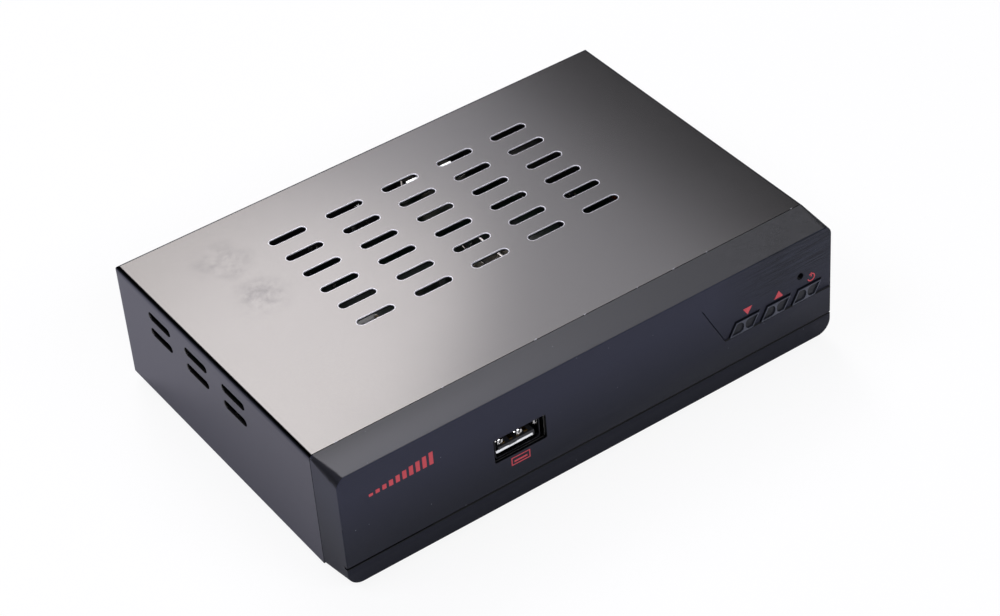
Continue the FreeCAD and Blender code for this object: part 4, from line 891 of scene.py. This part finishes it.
def rearSigns():
    p = rearPrint
    bm = bmesh.new()
    depth = p["film"] + 0.02
    y = p["wall"] - 0.02
    for name, tip in (("in", -1), ("loop", 1)):
        x, z = p["signs"][name]
        join(bm, slab([(-1.2, -0.2 * tip), (1.2, -0.2 * tip), (0, 1.5 * tip)], depth),
             Matrix.Translation((x, y, z)))
        a, b = sorted((z - 0.2 * tip, z - 1.6 * tip))
        block(bm, (x - 0.3, y, a), (x + 0.3, y + depth, b))
    x, z = p["signs"]["direct"]
    block(bm, (x - 1.8, y, z + 0.3), (x + 1.8, y + depth, z + 0.65))
    for i in (-1, 0, 1):
        block(bm, (x + 1.3 * i - 0.45, y, z - 0.6), (x + 1.3 * i + 0.45, y + depth, z - 0.25))
    piece(bm, "rear_signs", paleInk, smooth=30)


boardParts = {
    # x, y, radius, height
    "cans": ((-57, 11.3, 4.0, 12.0), (-46, 11.3, 4.0, 12.0), (-57, -16.7, 3.15, 8.0), (40, 8.3, 3.15, 8.0),
             (52, -6.7, 3.15, 8.0)),
    "chokes": ((-44, -4.7), (-57, -4.7), (58, 8.3)),
    "wire": 0.42,
    "turns": 6,
    "windingFoot": 0.9,
    "regulators": ((-38, -20.7), (-46, -20.7), (42, -18.7)),
    # how many legs stand on one side, and their pitch
    "memoryLegs": (16, 0.8),
    "storeLegs": (4, 1.27),
    "regulatorPitch": 2.3,
    # small parts: how many, where they may stand, the grid and the least room between them
    "smallParts": 110,
    "seed": 4,
    "across": (-66, 66),
    "along": (-38, 44),
    "grid": 1.5,
    "room": 1.2,
    "end": 0.27,
}
boardTop = boxOf("main_board")[1].z


def capacitorPieces():
    sleeves, caps, stripes = bmesh.new(), bmesh.new(), bmesh.new()
    for x, y, r, h in boardParts["cans"]:
        outline = [(0, 0), (r - 0.1, 0), (r, 0.15), (r, 1.0), (r - 0.12, 1.25), (r - 0.28, 1.5), (r - 0.12, 1.75),
                   (r, 2.0), (r, h - 0.55), (r - 0.12, h - 0.2), (r - 0.4, h - 0.02), (r - 0.75, h - 0.02),
                   (r - 0.8, h - 0.2), (0, h - 0.2)]
        seat = Matrix.Translation((x, y, boardTop))
        join(sleeves, turned(outline, 40), seat)
        lid = turned([(0, h - 0.25), (r - 0.82, h - 0.25), (r - 0.82, h - 0.06), (r - 0.9, h), (0, h)], 40)
        score = bmesh.new()
        for turn in (0, 1):
            verts = block(score, (-r * 0.72, -0.14, h - 0.1), (r * 0.72, 0.14, h + 1))
            bmesh.ops.rotate(score, verts=verts, cent=(0, 0, 0), matrix=Matrix.Rotation(turn * math.pi / 2, 3, "Z"))
        join(caps, cutAway(lid, score), seat @ turnZ(0.6))
        stripe = turned([(r - 0.02, 2.3), (r + 0.03, 2.3), (r + 0.03, h - 0.9), (r - 0.02, h - 0.9)], 8,
                        math.radians(52), ring=True)
        join(stripes, stripe, seat @ turnZ(3.9))
    piece(sleeves, "capacitor_sleeves", sleeve, replaces=["capacitor_cans"])
    piece(caps, "capacitor_lids", aluminium, smooth=25)
    piece(stripes, "capacitor_stripes", sleeveInk)


def chokePieces():
    # copper turns in the drum's waist
    wire, start = boardParts["wire"], boardParts["windingFoot"]
    outline = [(2.62, start)]
    for i in range(boardParts["turns"]):
        z = start + i * wire + 0.05
        outline += [(2.85, z), (3.12, z + wire * 0.25), (3.12, z + wire * 0.7), (2.85, z + wire * 0.95)]
    outline += [(2.62, z + wire)]
    bm = placed(turned(outline, 36, ring=True),
                *[Matrix.Translation((x, y, boardTop)) for x, y in boardParts["chokes"]])
    piece(bm, "choke_windings", copper)


def gullLeg(width, reach, rise, thick=0.15):
    # a chip's bent leg, from the body at x = 0 out along +X, down to the board
    line = [(0, rise), (reach * 0.35, rise), (reach * 0.6, 0.02), (reach, 0.02)]
    under = [(x, z + thick) for x, z in line[::-1]]
    bm = slab([(x, z) for x, z in line + under], width)
    bmesh.ops.translate(bm, vec=(0, -width / 2, 0), verts=bm.verts)
    return bm


def chipPieces():
    top = boardTop
    for node, edge, material, slot in (
            ("processor", 0.1, chipEpoxy, "chip_resin"), ("memory_chip", 0.08, chipEpoxy, "chip_resin"),
            ("program_store", 0.1, chipEpoxy, "chip_resin"), ("voltage_regulators", 0.15, chipEpoxy, "chip_resin"),
            ("heat_sink", 0.12, aluminium, "sink_aluminium"), ("link_header", 0.1, blackPlastic, "black_insulator"),
            ("tuner_can", 0.08, tinPlate, "tinned_steel"), ("tuner_lid", 0.15, tinPlate, "tinned_steel"),
            ("switch_bodies", 0.06, blackPlastic, "black_insulator")):
        rounded(node, node + "_shape", material, edge, 60)
    # at() turns the legs half round, so they lie inside the chips' outlines
    legs = bmesh.new()
    low, high = boxOf("memory_chip")
    places = []
    count, pitch = boardParts["memoryLegs"]
    for i in range(count):
        across = (low.x + high.x) / 2 + (i - (count - 1) / 2) * pitch
        places += [at((across, low.y + 0.05, top)) @ turnZ(-math.pi / 2),
                   at((across, high.y - 0.05, top)) @ turnZ(math.pi / 2)]
    join(legs, gullLeg(0.35, 0.95, 0.5), *places)
    low, high = boxOf("program_store")
    places = []
    count, pitch = boardParts["storeLegs"]
    for i in range(count):
        along = (low.y + high.y) / 2 + (i - (count - 1) / 2) * pitch
        places += [at((high.x - 0.05, along, top)), at((low.x + 0.05, along, top)) @ turnZ(math.pi)]
    join(legs, gullLeg(0.42, 1.2, 0.8), *places)
    places = []
    for x, y in boardParts["regulators"]:
        for i in (-1, 0, 1):
            places.append(at((x + boardParts["regulatorPitch"] * i, y - 1.75, top)) @ turnZ(-math.pi / 2))
        block(legs, (x - 1.5, y + 1.7, top + 0.02), (x + 1.5, y + 3.0, top + 0.3))
    join(legs, gullLeg(0.75, 1.5, 0.7, 0.25), *places)
    piece(legs, "chip_legs", tinPlate, smooth=50)


def smallPartPieces():
    # resistors and ceramic capacitors scattered over the free places of the main board
    b = boardParts
    chance = random.Random(b["seed"])
    taken = []
    for node in ("heat_sink", "memory_chip", "program_store", "crystal", "jack_block", "video_socket_shell",
                 "tuner_lid", "power_jack_body", "link_header"):
        low, high = boxOf(node)
        taken.append((low.x - 1.5, low.y - 1.5, high.x + 1.5, high.y + 1.5))
    taken += [(x - r - 1, y - r - 1, x + r + 1, y + r + 1) for x, y, r, h in b["cans"]]
    taken += [(x - 4.6, y - 4.6, x + 4.6, y + 4.6) for x, y in b["chokes"]]
    taken += [(x - 4.4, y - 4.2, x + 4.4, y + 4.0) for x, y in b["regulators"]]
    taken += [(x - 4, y - 4, x + 4, y + 4) for x, y, z in screwSeats("board_screws")]
    bodies = {"chip_resistors": bmesh.new(), "chip_capacitors": bmesh.new()}
    ends = bmesh.new()
    room, end = b["room"], b["end"]
    made = 0
    while made < b["smallParts"]:
        x, y = chance.uniform(*b["across"]), chance.uniform(*b["along"])
        x, y = round(x / b["grid"]) * b["grid"], round(y / b["grid"]) * b["grid"]
        if any(a - room < x < c + room and d - room < y < e + room for a, d, c, e in taken):
            continue
        taken.append((x - 1.0, y - 1.0, x + 1.0, y + 1.0))
        kind = chance.choice(list(bodies))
        half, side, height = 0.8, 0.4, 0.45 if kind == "chip_resistors" else 0.75
        turn = chance.random() < 0.5
        for bm, low, high, h in ((bodies[kind], -half + 0.25, half - 0.25, height),
                                 (ends, -half, -half + end, height + 0.02), (ends, half - end, half, height + 0.02)):
            a, c = (low, high), (-side, side)
            if turn:
                a, c = c, a
            block(bm, (x + a[0], y + c[0], boardTop + 0.02), (x + a[1], y + c[1], boardTop + h))
        made += 1
    piece(bodies["chip_resistors"], "chip_resistors", chipEpoxy, smooth=30)
    piece(bodies["chip_capacitors"], "chip_capacitors", ceramic, smooth=30)
    piece(ends, "chip_terminals", tinPlate, smooth=30)


def footPieces():
    low, high = boxOf("rubber_feet")
    xs, ys = (low.x + 5, high.x - 5), (low.y + 5, high.y - 5)
    outline = [(0, 2.0), (4.75, 2.0), (5.0, 1.7), (4.95, 0.5), (4.8, 0.12), (4.5, 0.0), (3.4, 0.0), (3.1, 0.12),
               (2.9, 0.4), (0, 0.4)]
    bm = placed(turned(outline, 40), *[Matrix.Translation((x, y, 0)) for x in xs for y in ys])
    piece(bm, "feet", rubber, replaces=["rubber_feet"], smooth=40)


print("front")
frontPieces()
printedSigns()
dataSocketPieces()
print("screws and feet")
screwPieces()
footPieces()
print("sockets at the back")
aerialPieces()
jackPieces()
videoPieces()
powerJackPieces()
rearSigns()
print("inside")
capacitorPieces()
chokePieces()
chipPieces()
smallPartPieces()


studio = {
    "floorColour": "#f4f4f4",
    "floorReach": 2.2,        # metres of flat floor, then it curves up as a paper sweep does
    "sweepRise": 1.5,
    "whiteShare": 0.88,       # how far the paper shows as plain white; the rest keeps the shadow
    "mirrorShare": 0.0,       # the same for what shiny surfaces see
    "worldColour": "#e6e8f2",
    "worldStrength": 0.08,
    # name: place and target in metres, size, watts, colour, turn about its own axis in degrees
    "lamps": {
        "backSoftbox": ((0.3058, 1.1893, 1.4667), (0.0, 0.0, 0.03), (0.45, 1.08), 10.5, "#fffafa", -33.2),
        "sideSoftbox": ((0.5624, 1.1172, 1.4469), (0.0, 0.0, 0.03), (0.68, 0.95), 6.4, "#f6f5ff", -44.9),
        "leftFill": ((-1.0, 0.25, 1.35), (0.0, 0.0, 0.02), (0.9, 0.7), 12.0, "#eeeeff", 0.0),
        "overhead": ((0.0, 0.0, 1.6), (0.0, 0.0, 0.0), (1.2, 1.2), 2.5, "#fffdfb", 0.0),
        "frontFill": ((0.0, -1.75, 1.45), (0.0, 0.0, 0.02), (2.6, 0.8), 35.0, "#f4f6ff", 0.0),
    },
}


def floor():
    # flat paper that curves up all round
    bm = bmesh.new()
    reach, rise = studio["floorReach"], studio["sweepRise"]
    centre = bm.verts.new((0, 0, 0))
    edge = bm.verts.new((reach, 0, 0))
    bm.edges.new((centre, edge))
    bmesh.ops.spin(bm, geom=[edge], cent=(reach, 0, rise), axis=(0, -1, 0), dvec=(0, 0, 0),
                   angle=math.radians(72), steps=10, use_merge=False)
    bmesh.ops.spin(bm, geom=bm.verts[:] + bm.edges[:], cent=(0, 0, 0), axis=(0, 0, 1), dvec=(0, 0, 0),
                   angle=math.tau, steps=64, use_merge=True)
    bmesh.ops.remove_doubles(bm, verts=bm.verts, dist=0.0001)
    bmesh.ops.recalc_face_normals(bm, faces=bm.faces)
    mesh = bpy.data.meshes.new("floor")
    bm.to_mesh(mesh)
    bm.free()
    mesh.shade_smooth()
    obj = newObject("floor", mesh)
    # matt white paper: it shows as plain white, yet keeps a soft shadow
    material = bpy.data.materials.new("paper, white sweep")
    material.use_nodes = True
    tree = material.node_tree
    tree.nodes.remove(tree.nodes["Principled BSDF"])
    matt = addNode(tree, "BsdfDiffuse", {"Color": hexColour(studio["floorColour"])})
    white = addNode(tree, "Emission", {"Color": (1, 1, 1, 1), "Strength": 1.0})
    path = addNode(tree, "LightPath")
    seen = addNode(tree, "Math", {"operation": "MAXIMUM"},
                   {0: path.outputs["Is Camera Ray"], 1: path.outputs["Is Transmission Ray"]})
    mirrored = addNode(tree, "Math", {"operation": "MULTIPLY", 1: studio["mirrorShare"]},
                       {0: path.outputs["Is Glossy Ray"]})
    share = addNode(tree, "Math", {"operation": "MULTIPLY_ADD", 1: studio["whiteShare"]}, {0: seen, 2: mirrored})
    both = addNode(tree, "MixShader", {}, {0: share, 1: matt, 2: white})
    link(tree, tree.nodes["Material Output"], {"Surface": both})
    mesh.materials.append(material)


def lights():
    for name, (place, target, size, power, colour, turn) in studio["lamps"].items():
        data = bpy.data.lights.new(name, "AREA")
        data.shape = "RECTANGLE"
        data.size, data.size_y = size
        data.energy = power
        data.color = hexColour(colour)[:3]
        obj = newObject(name, data)
        obj.location = place
        aim = (Vector(target) - Vector(place)).to_track_quat("-Z", "Y").to_matrix()
        obj.rotation_euler = (aim @ Matrix.Rotation(math.radians(turn), 3, "Z")).to_euler()
    world = bpy.data.worlds.new("studio")
    bpy.context.scene.world = world
    world.use_nodes = True
    room = world.node_tree.nodes["Background"]
    room.inputs["Color"].default_value = hexColour(studio["worldColour"])
    room.inputs["Strength"].default_value = studio["worldStrength"]


lens = {
    "place": (-0.304831, -0.495204, 0.490954),
    "turn": (50.4866, 3.6444, -35.4572),   # degrees
    "focal": 100.576,                      # mm
    "sensor": 36,                          # mm, its width
}


def camera():
    data = bpy.data.cameras.new("camera")
    data.sensor_width = lens["sensor"]
    data.lens = lens["focal"]
    data.clip_start = 0.01
    obj = newObject("camera", data)
    obj.location = lens["place"]
    obj.rotation_euler = [math.radians(a) for a in lens["turn"]]
    bpy.context.scene.camera = obj


print("studio")
floor()
lights()
camera()
bpy.context.scene.view_settings.view_transform = "Standard"

print("finished")
